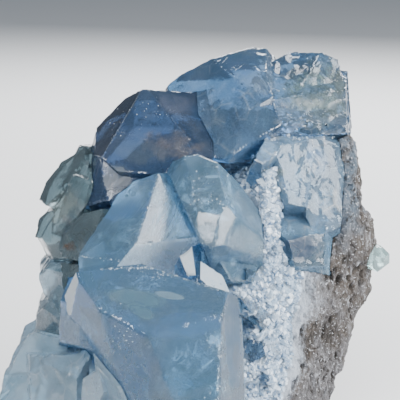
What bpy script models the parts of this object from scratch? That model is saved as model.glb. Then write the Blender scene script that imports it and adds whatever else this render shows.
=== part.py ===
"""Celestite geode: a broken hand specimen with large blue crystals on a white crust over grey-brown rock.

Corners and sizes are in millimetres, and the finished meshes are scaled to metres at the end.
X runs to the right, Y away from the viewer and Z up. The flat resting spot lies at Z = 0.
An azimuth of 0 faces the viewer and 90 faces right. An elevation of 90 faces up.
"""
import math
import random

import bmesh
import bpy
from mathutils import Matrix, Vector, noise

MM = 0.001
SEED = 11

# Sizes that shape the whole specimen, in millimetres
BLOCK = 160.0            # edge of the block that each crystal is cut from
MERGE = 0.002            # corners closer than this are one
GAP = 0.3                # clearance between neighbouring pieces
MIDDLE = Vector((-1.1, -4.3, 0))  # middle of the outline seen from above, which becomes the origin
ROCK_VOXEL = 3.0         # grain of the rock mass before its lumps
ROCK_TRIANGLES = 3600    # triangles of the rock mass, crust and matrix together
ROCK_LUMP = 2.6          # height of the broad lumps
ROCK_PIT = 1.6           # depth of the small pits
SEAM_WAVE = 3.0          # height of the waves where crust meets matrix
DRUSE_COUNT = 40         # small crystals that stand out of the crust
DRUSE_SIZE = (2.4, 4.4)  # their length

# Colours, as base colour and roughness
BLUE = ((0.16, 0.28, 0.42, 1.0), 0.08)
GREY_BLUE = ((0.24, 0.30, 0.33, 1.0), 0.15)
PALE_BLUE = ((0.42, 0.52, 0.60, 1.0), 0.2)
CRUST_WHITE = ((0.55, 0.62, 0.70, 1.0), 0.45)
ROCK_BROWN = ((0.20, 0.18, 0.16, 1.0), 0.9)
BEAD_GREEN = ((0.50, 0.58, 0.54, 1.0), 0.12)


def clear_scene():
    for obj in list(bpy.data.objects):
        bpy.data.objects.remove(obj, do_unlink=True)


def direction(azimuth, elevation):
    """Unit vector of a face that looks along these angles."""
    a, e = math.radians(azimuth), math.radians(elevation)
    return Vector((math.sin(a) * math.cos(e), -math.cos(a) * math.cos(e), math.sin(e)))


def facing(point, azimuth, elevation):
    """Plane through a point that looks along two angles."""
    return Vector(point), direction(azimuth, elevation)


def through(a, b, c):
    """Plane through three corners. The crystal turns it outwards."""
    a, b, c = Vector(a), Vector(b), Vector(c)
    return a, (b - a).cross(c - a).normalized()


def crest(a, b, slope=30.0):
    """Plane through a skyline edge that falls away behind it at this slope."""
    middle = (Vector(a) + Vector(b)) / 2
    return through(a, b, middle + Vector((0, math.cos(math.radians(slope)), -math.sin(math.radians(slope)))))


class Crystal:
    """A convex crystal, cut from a block by one plane for each of its faces."""

    def __init__(self, centre, planes):
        self.centre = Vector(centre)
        self.planes = []
        for point, normal in planes:
            outward = normal if normal.dot(point - self.centre) > 0 else -normal
            self.planes.append((point, outward))

    def holds(self, point, margin=0.0):
        """Whether the point lies in the crystal, or within the margin of it."""
        return all((point - corner).dot(normal) < margin for corner, normal in self.planes)

    def bmesh(self, grow=0.0):
        """The crystal, with each face moved outwards by grow."""
        bm = bmesh.new()
        bmesh.ops.create_cube(bm, size=BLOCK, matrix=Matrix.Translation(self.centre))
        for point, normal in self.planes:
            everything = bm.verts[:] + bm.edges[:] + bm.faces[:]
            bmesh.ops.bisect_plane(bm, geom=everything, dist=1e-4, plane_co=point + normal * grow,
                                   plane_no=normal, clear_outer=True)
            bmesh.ops.holes_fill(bm, edges=bm.edges[:], sides=0)
        bmesh.ops.recalc_face_normals(bm, faces=bm.faces[:])
        return bm


def slab(outline, depth, flare=0.0):
    """A blade whose front face has this outline and whose sides run back, widening by flare degrees."""
    corners = [Vector(p) for p in outline]
    middle = sum(corners, Vector()) / len(corners)
    normal = Vector()
    for a, b in zip(corners, corners[1:] + corners[:1]):
        normal += (a - middle).cross(b - middle)
    normal.normalize()
    if normal.y > 0:
        normal = -normal
    centre = middle - normal * depth / 2
    planes = [(middle, normal), (middle - normal * depth, -normal)]
    for a, b in zip(corners, corners[1:] + corners[:1]):
        outward = (b - a).cross(normal).normalized()
        if outward.dot(a - middle) < 0:
            outward = -outward
        lean = math.radians(flare)
        planes.append((a, outward * math.cos(lean) + normal * math.sin(lean)))
    return Crystal(centre, planes)


def to_object(name, bm):
    mesh = bpy.data.meshes.new(name)
    bm.to_mesh(mesh)
    bm.free()
    obj = bpy.data.objects.new(name, mesh)
    bpy.context.scene.collection.objects.link(obj)
    return obj


def apply_modifiers(obj):
    """Turn the object's modifiers into its mesh."""
    bpy.context.view_layer.update()
    evaluated = obj.evaluated_get(bpy.context.evaluated_depsgraph_get())
    mesh = bpy.data.meshes.new_from_object(evaluated)
    obj.modifiers.clear()
    obj.data = mesh


def combine(obj, other, operation):
    """Boolean the object with another, which is used up."""
    modifier = obj.modifiers.new(operation.lower(), "BOOLEAN")
    modifier.operation = operation
    modifier.solver = "EXACT"
    modifier.object = other
    apply_modifiers(obj)
    bpy.data.objects.remove(other, do_unlink=True)
    bm = bmesh.new()
    bm.from_mesh(obj.data)
    bmesh.ops.remove_doubles(bm, verts=bm.verts[:], dist=MERGE)
    bmesh.ops.dissolve_degenerate(bm, edges=bm.edges[:], dist=MERGE)
    along_edges = [vert for vert in bm.verts if len(vert.link_edges) == 2]
    bmesh.ops.dissolve_verts(bm, verts=along_edges)
    bm.to_mesh(obj.data)
    bm.free()


def joined(crystals, grow=0.0):
    """One solid of several crystals."""
    obj = to_object("joined", crystals[0].bmesh(grow))
    for crystal in crystals[1:]:
        combine(obj, to_object("next", crystal.bmesh(grow)), "UNION")
    return obj


def keep_main_body(obj):
    """Drop the loose chips that a cut can leave."""
    bm = bmesh.new()
    bm.from_mesh(obj.data)
    bodies, seen = [], set()
    for start in bm.verts:
        if start in seen:
            continue
        body, reach = [], [start]
        seen.add(start)
        while reach:
            vert = reach.pop()
            body.append(vert)
            for edge in vert.link_edges:
                other = edge.other_vert(vert)
                if other not in seen:
                    seen.add(other)
                    reach.append(other)
        bodies.append(body)
    bodies.sort(key=len)
    for body in bodies[:-1]:
        bmesh.ops.delete(bm, geom=body, context="VERTS")
    bm.to_mesh(obj.data)
    bm.free()


def make_material(name, look):
    colour, roughness = look
    material = bpy.data.materials.new(name)
    material.use_nodes = True
    shader = material.node_tree.nodes["Principled BSDF"]
    shader.inputs["Base Color"].default_value = colour
    shader.inputs["Roughness"].default_value = roughness
    return material


def front_crystals():
    """The largest crystal, the grey one on its left flank and the small ones on its right shoulder."""
    ridge_left, ridge_top, ridge_right = (-30, -28, 62.5), (-14.5, -26, 64), (4, -31, 59.5)
    nose, right_corner, left_corner = (-12, -42, 51.5), (5, -38, 52.5), (-23, -37, 53)
    right_edge = (10.5, -28, 50)
    spark_top, spark_low = (-34, -18, 53), (-31.5, -25, 52)
    large = Crystal((-10, -22, 40), [
        through(ridge_left, ridge_right, nose),
        through(nose, right_corner, (6.5, -44, 36.5)),
        through(nose, left_corner, (-19, -41, 35)),
        through(right_corner, right_edge, (11, -33, 32)),
        facing(right_edge, 95, 0),
        through(ridge_left, spark_top, spark_low),
        through(left_corner, spark_low, (-26, -31, 44)),
        facing((-26, -30, 44), -62, -22),
        crest(ridge_left, ridge_top, 20),
        crest(ridge_top, ridge_right, 20),
        crest(spark_top, ridge_left, 10),
        facing(spark_top, -100, -18),
        facing((0, 0, 40), 180, 15),
        facing((-8, -40, 24), -4, -38),
        facing((-8, -20, 11), 10, -85),
    ])
    flank = Crystal((-29, -20, 44), [
        facing((-31.5, -24, 51.5), -35, 30),
        facing((-30, -26, 46), -58, 3),
        facing((-35.5, -17, 46), -95, 5),
        facing((-30, -22, 40.5), -30, -62),
        facing((-34, -18, 52), -70, 60),
        facing((-29, -27.5, 46), -10, 5),
        facing((-22, -20, 45), 90, 0),
        facing((-30, -6, 45), 180, 0),
    ])
    shoulder_left = slab([(-5, -23, 65), (-2, -22, 67.5), (-1, -26.5, 61), (-3, -27, 61)], 8, 12)
    shoulder_right = slab([(0, -24, 64), (5.5, -24, 61), (7.5, -27, 55), (4, -29, 58), (0, -28, 61)], 9, 15)
    return [large, flank, shoulder_left, shoulder_right]


def middle_crystals():
    """Two pointed crystals above the front one, grown into each other, and a small dark one below them."""
    peak, left_shoulder = (-10.5, -9, 82.5), (-23.5, -9, 75)
    left_low, lip_left, lip_right = (-31, -11, 61.5), (-16, -22, 67.5), (-4, -15, 67)
    left = Crystal((-15, -6, 66), [
        through(peak, lip_left, left_low),
        through(peak, lip_left, lip_right),
        through(lip_left, lip_right, (-5.5, -14, 59.5)),
        through(peak, left_shoulder, (-18.5, -14.5, 75.5)),
        crest(peak, (-17, -8.5, 80.5), 20),
        crest(left_shoulder, (-17, -8.5, 80.5), 20),
        through(left_shoulder, left_low, (-21, 2, 67)),
        facing(left_low, -100, -25),
        through(peak, (-4, -16, 70), (-1, 6, 74)),
        facing((-10, 6, 66), 180, 10),
        facing((-18, -14, 55), -10, -70),
    ])
    top_left, top_right = (-3.5, -9, 86.5), (4, -11, 85.5)
    waist_left, waist_right, hip_right = (-2.5, -20, 75.5), (5.5, -20, 78.5), (9, -19, 73.5)
    shoulder, far_right = (9.5, -9, 81.5), (15.8, -6, 75.5)
    heel_top, heel_low = (-7, -9, 80), (-0.5, -18, 67.5)
    right = Crystal((4, -6, 76), [
        facing((0, -7, 86.4), 0, 68),
        crest((-3, -6.5, 86.3), (1, -6, 86.8), 25),
        crest((1, -6, 86.8), (5.5, -7, 85.3), 25),
        crest((5.5, -7, 85.3), shoulder),
        crest(shoulder, far_right),
        through(heel_top, heel_low, (-7.5, 0, 77)),
        through(top_left, top_right, waist_left),
        through(top_right, waist_right, hip_right),
        through(waist_left, waist_right, (4, -24, 70)),
        through(waist_right, hip_right, (4, -24, 70)),
        facing(hip_right, 48, 6),
        through(top_left, (-7, -10, 80), (-4.5, -16, 75.5)),
        facing((15.8, -6, 74), 92, 0),
        facing((7, -20, 64.5), 30, -35),
        facing((1, -24, 68), -25, -30),
        facing(top_left, -75, 35),
        facing(top_right, 55, 60),
        facing((3, 6, 76), 180, 25),
        facing((4, -10, 55), 0, -80),
    ])
    low = Crystal((10, -6, 60), [
        through((7, -17.5, 63), (14, -9, 67.5), (12.5, -14, 55)),
        facing((8, -18.5, 57), -15, -20),
        facing((15.5, -9, 62), 80, -10),
        facing((12.5, -13.5, 55), 20, -60),
        facing((14, -9, 67.5), 30, 60),
        facing((10, -2, 69.5), 0, 85),
        facing((2, -10, 60), -90, 0),
        facing((10, 6, 60), 180, 0),
    ])
    return [left, right, low]


def upper_left_crystals():
    """The tall dark crystal behind the middle ones, and the grey one at its foot."""
    peak, shelf_left, shelf_low = (-15.5, 12, 100), (-25, 1, 85), (-10, -6, 81.5)
    tall = Crystal((-12, 12, 84), [
        through(peak, (-2.5, 0, 89), shelf_left),
        through(peak, shelf_left, (-28, 18, 88.5)),
        through((-6, 14, 99), (-2.5, 0, 89), (3, 6, 91)),
        crest(peak, (-6, 14, 99.5)),
        crest((-20, 16, 97.5), peak),
        crest((-28, 18, 88.5), (-20, 16, 97.5)),
        crest((-28, 18, 88.5), (-28, 14, 85), 5),
        facing((2.5, 12, 95.5), 70, 40),
        facing((3, 6, 90), 95, -5),
        facing(shelf_low, -15, -42),
        facing((-28.5, 9, 82), -60, -35),
        facing((-10, 31, 84), 176, 14),
        facing((-22, 26, 84), -135, 8),
        facing((-10, 30, 76), 178, -40),
        facing((-12, 12, 68), 0, -90),
    ])
    grey = Crystal((-21, 5, 78), [
        through((-26, 2, 84), (-13, -2, 81), (-24, -5.5, 74)),
        through((-26, 2, 84), (-29.5, 3, 75.5), (-24, -5.5, 74)),
        facing((-27.5, 5, 82), -80, 15),
        facing((-24, -5, 74), -20, -50),
        facing((-13, -2, 80), 60, 0),
        facing((-26, 3, 84), -20, 75),
        facing((-20, 18, 78), 180, 0),
    ])
    return [tall, grey]


def top_crystals():
    """The broad crystal at the top, and the broken, stepped block to its right."""
    brow, inner, beak = (3, 23, 106.5), (11.5, 9, 102), (9, -5, 84.5)
    broad = Crystal((8, 18, 94), [
        through(brow, (13.5, 24, 109.5), inner),
        through(brow, inner, (2, 9, 96)),
        through(inner, beak, (23.5, 8, 98)),
        through((2, 9, 96), beak, inner),
        through(brow, (-8, 23, 99), (2, 9, 96)),
        crest((-5.5, 24, 102), brow),
        crest((-8, 24, 100), (-5.5, 24, 102)),
        facing((-8.5, 22, 99), -80, 25),
        crest(brow, (13.5, 24, 109.5)),
        crest((13.5, 24, 109.5), (18.5, 24, 109)),
        facing((19, 22, 107.5), 75, 25),
        facing((-8, 20, 96), -75, 0),
        facing(beak, -35, -50),
        facing((11.5, -7, 81.5), 30, -50),
        facing((17, 2, 89), 48, -38),
        facing((24, 8, 96), 85, 0),
        facing((6, 35, 96), 170, 24),
        facing((6, 36, 90), 178, -42),
        facing((-12, 26, 94), -120, 5),
        facing((5, 20, 80), -30, -80),
    ])
    block = Crystal((29, 22, 96), [
        crest((17, 22, 104.5), (24.5, 23, 108)),
        crest((24.5, 23, 108), (28, 22, 107.7)),
        crest((28, 22, 107.7), (38, 20, 107)),
        facing((38.2, 18, 103), 84, 14),
        facing((39.5, 14, 95), 82, 3),
        facing((25, 17, 104), -22, 30),
        facing((34, 16.5, 103), 16, 12),
        facing((20, 18, 104), -60, 30),
        facing((29, 33, 98), 168, 22),
        facing((31, 34, 92), 176, -45),
        facing((38, 26, 98), 125, 10),
        facing((30, 20, 86), 20, -80),
        facing((17, 20, 94), -90, 0),
    ])
    ledge = Crystal((29, 14, 94), [
        facing((28, 12, 99.5), 8, 62),
        facing((28, 9.5, 97), 14, 36),
        facing((29, 6.5, 93), 8, 4),
        facing((18.5, 7, 97), -40, 10),
        facing((39.3, 11, 94), 82, 6),
        facing((30, 5, 89), 0, -80),
        facing((30, 22, 94), 180, 0),
        facing((30, 15, 87), 0, -90),
    ])
    return [broad, block, ledge]


def right_crystals():
    """Pale, fractured crystals under the top right block, and a small blue one below them."""
    wedge = slab([(17, 1.5, 89.5), (21.5, 1, 88), (20, -2, 86), (16, -4.5, 83.5), (13.5, -3.5, 84.5)], 10, 6)
    left = Crystal((23, 4, 79), [
        through((19.5, 0, 86), (27, 2.5, 83.5), (25.5, -4, 72.5)),
        facing((22, -4, 76), -38, 10),
        facing((26, 4, 88), 5, 76),
        facing((28.5, 0, 77), 70, 0),
        facing((24, -4, 72.5), 0, -55),
        facing((20, -1, 77), -75, -12),
        facing((23, 14, 79), 180, 0),
    ])
    right = Crystal((33, 8, 73), [
        through((28, 3, 82), (34, 5.5, 81), (31, 6, 86.5)),
        through((27.5, -0.5, 78), (34.5, 1, 78), (34, 0, 64)),
        facing((37, 4, 74), 62, 12),
        facing((27.5, 0, 76), -60, 5),
        facing((37.8, 6, 72), 88, -3),
        facing((31, 0, 63.5), -5, -52),
        facing((36, 2, 64), 50, -45),
        facing((28.5, 0, 66), -70, -25),
        facing((34, 5.5, 86), 50, 50),
        facing((31, 14, 89), 0, 85),
        facing((33, 18, 73), 180, 0),
    ])
    blue = Crystal((28, 4, 60), [
        through((22, -7.5, 64), (33, -2, 62), (31, -4, 56)),
        facing((23.5, -7, 60), -50, -10),
        facing((33.5, -1, 60), 75, 0),
        facing((27, -5, 56), 10, -55),
        facing((27, -4, 65), 20, 62),
        facing((28, 10, 60), 180, 0),
    ])
    return [wedge, left, right, blue]


def left_crystals():
    """The stack of grey-green blades at the left edge."""
    upper = slab([(-30, 11, 84.5), (-37.5, 14, 80), (-42.5, 13, 75), (-43.5, 11, 70), (-40.5, 7, 69),
                  (-36.5, 6, 74), (-31, 7, 82.5)], 14, -4)
    chip = slab([(-31.5, 7, 82), (-29, 6, 82.3), (-29.5, 3, 78), (-32, 4, 78)], 6, -14)
    long_blade = Crystal((-34, 9, 69), [
        through((-33.5, 4, 78.5), (-27, 0, 76), (-42.5, 5.5, 61)),
        through((-33.5, 4, 78.5), (-42.5, 6, 61), (-36, 14, 76)),
        facing((-33, -0.5, 69), 38, -22),
        facing((-37.5, 1.5, 62), -22, -28),
        facing((-42.5, 6, 61), -70, -25),
        facing((-27, 2, 77), 60, 30),
        facing((-31, 8, 80), -20, 72),
        facing((-34, 20, 69), 180, 0),
        facing((-38, 6, 54.5), 0, -80),
    ])
    tip = slab([(-43.8, 9, 66), (-41.5, 9, 67.5), (-39, 7.5, 68.5), (-40, 6, 65), (-42, 6, 60.5),
                (-44.2, 9, 60)], 9, -8)
    lower = slab([(-31.5, -2, 70), (-24.5, -5, 72), (-27, -8.5, 66), (-31, -10, 59.5), (-36, -4.5, 59),
                  (-37, -3, 61), (-36, -1, 64)], 20, 8)
    foot = slab([(-36.5, -3, 57), (-30, -9, 58.5), (-30, -11, 55), (-35.5, -8.5, 51.5)], 18, 8)
    return [upper, chip, long_blade, tip, lower, foot]


def left_small_crystals():
    """A pale rounded crystal and dark blue ones below the blades."""
    pale = Crystal((-38.5, 8, 49), [
        facing((-40, 4, 49.5), -42, 12),
        facing((-43.6, 6, 49), -85, 0),
        facing((-42.6, 6, 51.2), -85, 42),
        facing((-42.8, 6, 46.5), -85, -30),
        facing((-41.5, 6, 52.2), -50, 66),
        facing((-37, 0, 50), 20, 10),
        facing((-41, 3, 45.5), -45, -50),
        facing((-38.5, 4, 53.6), 20, 70),
        facing((-35, 4, 49), 90, 0),
        facing((-38, 20, 49), 180, 0),
        facing((-38, 6, 43.5), 0, -85),
    ])
    dark_upper = slab([(-42.5, 0, 45.5), (-39.5, -4, 47.5), (-36, -8, 44), (-38, -8, 41),
                       (-43, -1, 42.5)], 14, 4)
    dark_lower = Crystal((-38, 2, 39), [
        facing((-41, -4, 39), -48, -4),
        facing((-44, 0, 39.5), -88, 4),
        facing((-43.6, 0, 42), -88, 38),
        facing((-43.8, 0, 37), -88, -28),
        facing((-38, -9, 40), -8, 8),
        facing((-39, -8, 43.5), -30, 58),
        facing((-40, -8, 35), -25, -60),
        facing((-34.5, -6, 39), 88, 0),
        facing((-38, 16, 39), 180, 0),
    ])
    return [pale, dark_upper, dark_lower]


def lower_left_crystals():
    """Pale blocky crystals over the lower left, and small ones below the front crystal's flank."""
    back = Crystal((-42, 2, 30), [
        crest((-47.5, -6, 37.5), (-43, -6, 38.8), 15),
        crest((-43, -6, 38.8), (-36, -8, 38.5), 15),
        facing((-46, -9, 35), -40, 35),
        facing((-47.5, -6, 37.5), -98, 16),
        facing((-51.5, -7, 24), -98, 22),
        facing((-52.5, -6, 20), -90, -18),
        facing((-42, -16, 30), -15, 5),
        facing((-34, 0, 30), 90, 0),
        facing((-42, 16, 28), 175, 0),
        facing((-46, -4, 14), -45, -62),
    ])
    big = Crystal((-35, -12, 28), [
        facing((-36, -21, 39.5), -20, 58),
        crest((-42.5, -18, 37), (-32.5, -20, 39), 12),
        facing((-42, -20, 36.5), -60, 40),
        facing((-35, -27.5, 33), -32, 14),
        facing((-31, -27, 37.5), 15, 52),
        facing((-29, -28, 33), 62, 6),
        facing((-43.2, -23, 30), -78, 4),
        facing((-36, -28, 24), -28, -32),
        facing((-37, -20, 15), -30, -72),
        facing((-34, 2, 28), 180, 0),
    ])
    low = Crystal((-45, -6, 23), [
        facing((-46, -17, 27), -45, 28),
        facing((-53, -9, 22), -96, 14),
        facing((-47, -19, 22), -38, -8),
        facing((-51, -8, 16), -60, -50),
        facing((-38, -8, 23), 90, 0),
        facing((-45, 8, 23), 180, 0),
        facing((-45, -10, 12), -20, -80),
        facing((-48, -8, 31), -60, 60),
    ])
    small = slab([(-29, -30, 36), (-24.5, -32, 40), (-23.5, -34.5, 34), (-25.5, -33, 28.5),
                  (-29.5, -30.5, 29)], 14, 2)
    dark = Crystal((-19, -30, 32), [
        through((-24.5, -33, 39), (-20, -38, 37), (-18, -38, 32)),
        facing((-18, -38, 32), 30, 0),
        facing((-23.5, -35, 31.5), -40, -15),
        facing((-21, -36, 28), 0, -55),
        facing((-21, -34, 39.5), 0, 65),
        facing((-14, -30, 32), 90, 0),
        facing((-26, -30, 32), -90, 0),
        facing((-19, -18, 32), 180, 0),
    ])
    return [back, big, low, small, dark]


def edge_crystal():
    """The small bead-like crystal on the rock at the right edge."""
    middle = Vector((48.2, 12, 53.4))
    planes = []
    facets = ((0, 0, 3.4), (45, 0, 3.5), (90, 0, 3.4), (135, 0, 3.4), (180, 0, 3.6), (-135, 0, 3.6),
              (-90, 0, 3.6), (-45, 0, 3.4), (0, 90, 3.3), (0, -90, 3.3), (20, 48, 3.2), (100, 45, 3.3),
              (-70, 45, 3.2), (60, -45, 3.3), (-60, -45, 3.3), (160, 45, 3.4), (160, -45, 3.4))
    for azimuth, elevation, radius in facets:
        planes.append((middle + direction(azimuth, elevation) * radius, direction(azimuth, elevation)))
    return [Crystal(middle, planes)]


def crust_shards():
    """Two dark splinters in the crust, and its ridge between the middle and right crystals."""
    upper = slab([(9.5, -26, 56.5), (14.5, -23, 53), (15.5, -23, 49), (11.5, -26, 51.5)], 9, -8)
    lower = slab([(15.5, -21, 51), (19, -18, 49), (18.5, -19, 45.5), (15.5, -22, 42.5), (13.5, -24, 46),
                  (14.5, -23, 49)], 9, -8)
    ridge = slab([(16, -3, 80), (18.5, 0, 82.5), (20.5, 0, 79), (21, -3, 73), (20.5, -6, 66), (18, -9, 62.5),
                  (15, -10, 62), (16, -7, 69.5)], 22, 6)
    return [upper, lower, ridge]


def rock_mass():
    """Crust and matrix as one lumpy mass, cut flat where it rests."""
    mass = Crystal((8, 6, 42), [
        facing((-31, 1, 40), -58, 4),
        facing((-26, 4, 62), -48, 28),
        facing((-4, -27, 12), -12, 10),
        facing((-4, -12, 56), 0, 46),
        facing((13, -21, 44), 47, 4),
        facing((13, -18, 53), 40, 34),
        facing((28, -2, 62), 30, 16),
        facing((43, 14, 72), 96, 10),
        facing((50, 12, 50), 98, -24),
        facing((38, 4, 17), 96, -38),
        facing((20, 20, 91), 10, 82),
        facing((4, 36, 40), 178, 6),
        facing((34, 32, 50), 150, 2),
        facing((-26, 26, 50), -142, 6),
        facing((-38, 10, 50), -92, 2),
        facing((-34, 0, 22), -78, -34),
        facing((-4, -28, 8), -18, -42),
        facing((4, 32, 10), 180, -40),
        facing((-32, 12, 76), -70, 40),
        facing((0, 0, -6), 0, -90),
    ])
    cheek = Crystal((38, 18, 76), [
        facing((40, 12, 90), 94, 9),
        facing((39, 9, 78), 14, 4),
        facing((42, 12, 74), 55, 6),
        facing((38, 16, 90), 10, 78),
        facing((32, 18, 78), -80, 0),
        facing((38, 30, 76), 175, 5),
        facing((38, 18, 55), 0, -90),
    ])
    knob = Crystal((44, 16, 60), [
        facing((45, 14, 61.5), 50, 68),
        facing((46.6, 14, 59), 92, 14),
        facing((46.8, 13, 56), 84, -42),
        facing((46, 11, 58), 20, 5),
        facing((44, 20, 58), 150, 20),
        facing((38, 16, 58), -90, 0),
        facing((44, 16, 52), 0, -85),
    ])
    rock = joined([mass, cheek, knob])
    remesh = rock.modifiers.new("even", "REMESH")
    remesh.mode = "VOXEL"
    remesh.voxel_size = ROCK_VOXEL
    apply_modifiers(rock)
    for vert in rock.data.vertices:
        at = vert.co.copy()
        lump = noise.noise(at * 0.045) + noise.noise(at * 0.11 + Vector((7, 0, 0))) * 0.6
        stretched = Vector((at.x * 0.30, at.y * 0.30, at.z * 0.14))
        pit = -abs(noise.noise(stretched + Vector((0, 31, 0)))) * ROCK_PIT * 2 + ROCK_PIT * 0.5
        vert.co += vert.normal * (lump * ROCK_LUMP + pit)
    settle = rock.modifiers.new("settle", "REMESH")
    settle.mode = "VOXEL"
    settle.voxel_size = ROCK_VOXEL * 0.8
    apply_modifiers(rock)
    decimate = rock.modifiers.new("fewer", "DECIMATE")
    decimate.ratio = ROCK_TRIANGLES / (2.0 * len(rock.data.polygons))
    rock.modifiers.new("triangles", "TRIANGULATE")
    apply_modifiers(rock)
    ground = to_object("ground", Crystal((0, 0, -40), [facing((0, 0, 0), 0, 90)]).bmesh())
    combine(rock, ground, "DIFFERENCE")
    return rock


def seam_plane():
    """The mean plane between crust and matrix, looking into the matrix."""
    middle, normal = through((33.5, -5, 61), (38, 8, 91), (20.5, -15, 23.5))
    return middle, normal if normal.y > 0 else -normal


def seam_cutter(name, side):
    """A wavy sheet with a thick back along the seam. Side 1 takes away the matrix, -1 the crust."""
    middle, normal = seam_plane()
    across = normal.orthogonal().normalized()
    along = normal.cross(across)
    turn = Matrix((across, along, normal)).transposed().to_4x4()
    bm = bmesh.new()
    bmesh.ops.create_grid(bm, x_segments=60, y_segments=60, size=BLOCK * 0.7)
    bmesh.ops.triangulate(bm, faces=bm.faces[:], quad_method="FIXED")
    for vert in bm.verts:
        wave = noise.noise(vert.co * 0.055 + Vector((3, 5, 0))) + 0.4 * noise.noise(vert.co * 0.16)
        vert.co.z = wave * SEAM_WAVE - side * GAP / 2
    grown = bmesh.ops.extrude_face_region(bm, geom=bm.faces[:])
    for vert in grown["geom"]:
        if isinstance(vert, bmesh.types.BMVert):
            vert.co.z = side * BLOCK * 0.75
    place = Matrix.Translation(middle) @ turn
    bmesh.ops.transform(bm, matrix=place, verts=bm.verts[:])
    bmesh.ops.recalc_face_normals(bm, faces=bm.faces[:])
    return to_object(name, bm)


def add_druse(crust, crystals):
    """Small pointed crystals over the crust's free surface, fused to it."""
    rng = random.Random(SEED)
    faces = []
    middle, normal = seam_plane()
    for face in crust.data.polygons:
        inside = any(crystal.holds(face.center, DRUSE_SIZE[1]) for crystal in crystals)
        before_seam = (face.center - middle).dot(normal) < -SEAM_WAVE - DRUSE_SIZE[1]
        if face.area > 1 and before_seam and face.center.z > DRUSE_SIZE[1] and not inside:
            faces.append(face)
    areas = [face.area for face in faces]
    spots = []
    for face in rng.choices(faces, areas, k=DRUSE_COUNT * 6):
        at = face.center.copy()
        if len(spots) < DRUSE_COUNT and all((at - other).length > DRUSE_SIZE[1] * 1.1 for other in spots):
            spots.append(at)
            tilt = Vector([rng.uniform(-0.4, 0.4) for _ in range(3)])
            lean = (face.normal + tilt).normalized()
            length = rng.uniform(*DRUSE_SIZE)
            radius = length * rng.uniform(0.42, 0.6)
            upright = lean.to_track_quat("Z", "Y").to_matrix().to_4x4()
            turn = Matrix.Rotation(rng.uniform(0, math.tau), 4, "Z")
            place = Matrix.Translation(at + lean * length * 0.1) @ upright @ turn
            bm = bmesh.new()
            bmesh.ops.create_cone(bm, cap_ends=True, segments=rng.choice((4, 5)), radius1=radius,
                                  radius2=radius * 0.2, depth=length, matrix=place)
            combine(crust, to_object("druse", bm), "UNION")


def near(obj, crystal, margin=2.0):
    """Whether the crystal may touch the object: no face of it lies beyond the object's whole box."""
    corners = [Vector(corner) for corner in obj.bound_box]
    for point, normal in crystal.planes:
        if all((corner - point).dot(normal) > margin for corner in corners):
            return False
    return True


def main():
    clear_scene()
    parts = bpy.data.collections.new("celestite_geode")
    bpy.context.scene.collection.children.link(parts)
    groups = (
        ("front_crystals", front_crystals(), BLUE),
        ("middle_crystals", middle_crystals(), BLUE),
        ("upper_left_crystals", upper_left_crystals(), BLUE),
        ("top_crystals", top_crystals(), BLUE),
        ("right_crystals", right_crystals(), PALE_BLUE),
        ("left_crystals", left_crystals(), GREY_BLUE),
        ("left_small_crystals", left_small_crystals(), GREY_BLUE),
        ("lower_left_crystals", lower_left_crystals(), PALE_BLUE),
        ("edge_crystal", edge_crystal(), BEAD_GREEN),
    )
    finished, earlier = [], []
    for name, crystals, look in groups:
        obj = joined(crystals)
        obj.name = name
        for crystal in earlier:
            if near(obj, crystal):
                combine(obj, to_object("cutter", crystal.bmesh(GAP)), "DIFFERENCE")
        earlier.extend(crystals)
        finished.append((obj, look))

    matrix = rock_mass()
    crust = bpy.data.objects.new("celestite_crust", matrix.data.copy())
    bpy.context.scene.collection.objects.link(crust)
    matrix.name = "matrix_rock"
    for shard in crust_shards():
        combine(crust, to_object("shard", shard.bmesh()), "UNION")
    combine(crust, seam_cutter("seam", 1), "DIFFERENCE")
    combine(matrix, seam_cutter("seam", -1), "DIFFERENCE")
    add_druse(crust, earlier)
    for rock in (crust, matrix):
        combine(rock, joined(earlier, GAP), "DIFFERENCE")
    finished.extend([(crust, CRUST_WHITE), (matrix, ROCK_BROWN)])

    for obj, look in finished:
        keep_main_body(obj)
        obj.data.transform(Matrix.Translation(-MIDDLE))
        obj.data.transform(Matrix.Scale(MM, 4))
        obj.data.materials.clear()
        obj.data.materials.append(make_material(obj.name + "_finish", look))
        bpy.context.scene.collection.objects.unlink(obj)
        parts.objects.link(obj)


main()
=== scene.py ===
"""Looks of the celestite geode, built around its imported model.

Laid out as an add-on and run as a script. Sizes of features are in millimetres, and meshes are in metres.
Places on the crystals are given as pixels (u, v) of the photograph, 400 to a side.
"""
import math
import random
from collections import namedtuple

import bmesh
import bpy
import numpy as np
from mathutils import Matrix, Vector, noise
from mathutils.bvhtree import BVHTree
from mathutils.kdtree import KDTree


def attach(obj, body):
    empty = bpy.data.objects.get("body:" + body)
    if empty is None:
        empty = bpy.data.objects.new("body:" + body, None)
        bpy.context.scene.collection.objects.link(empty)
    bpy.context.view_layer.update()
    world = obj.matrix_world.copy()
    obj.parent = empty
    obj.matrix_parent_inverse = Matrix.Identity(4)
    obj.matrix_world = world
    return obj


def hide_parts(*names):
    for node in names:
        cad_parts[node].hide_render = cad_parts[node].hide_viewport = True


bl_info = {
    "name": "Celestite geode",
    "version": (1, 0, 0),
    "blender": (4, 5, 0),
    "location": "3D View > Sidebar > Celestite",
    "description": "Builds the crystals, crust and rock of a celestite geode around its packed model",
    "category": "Object",
}

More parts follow.
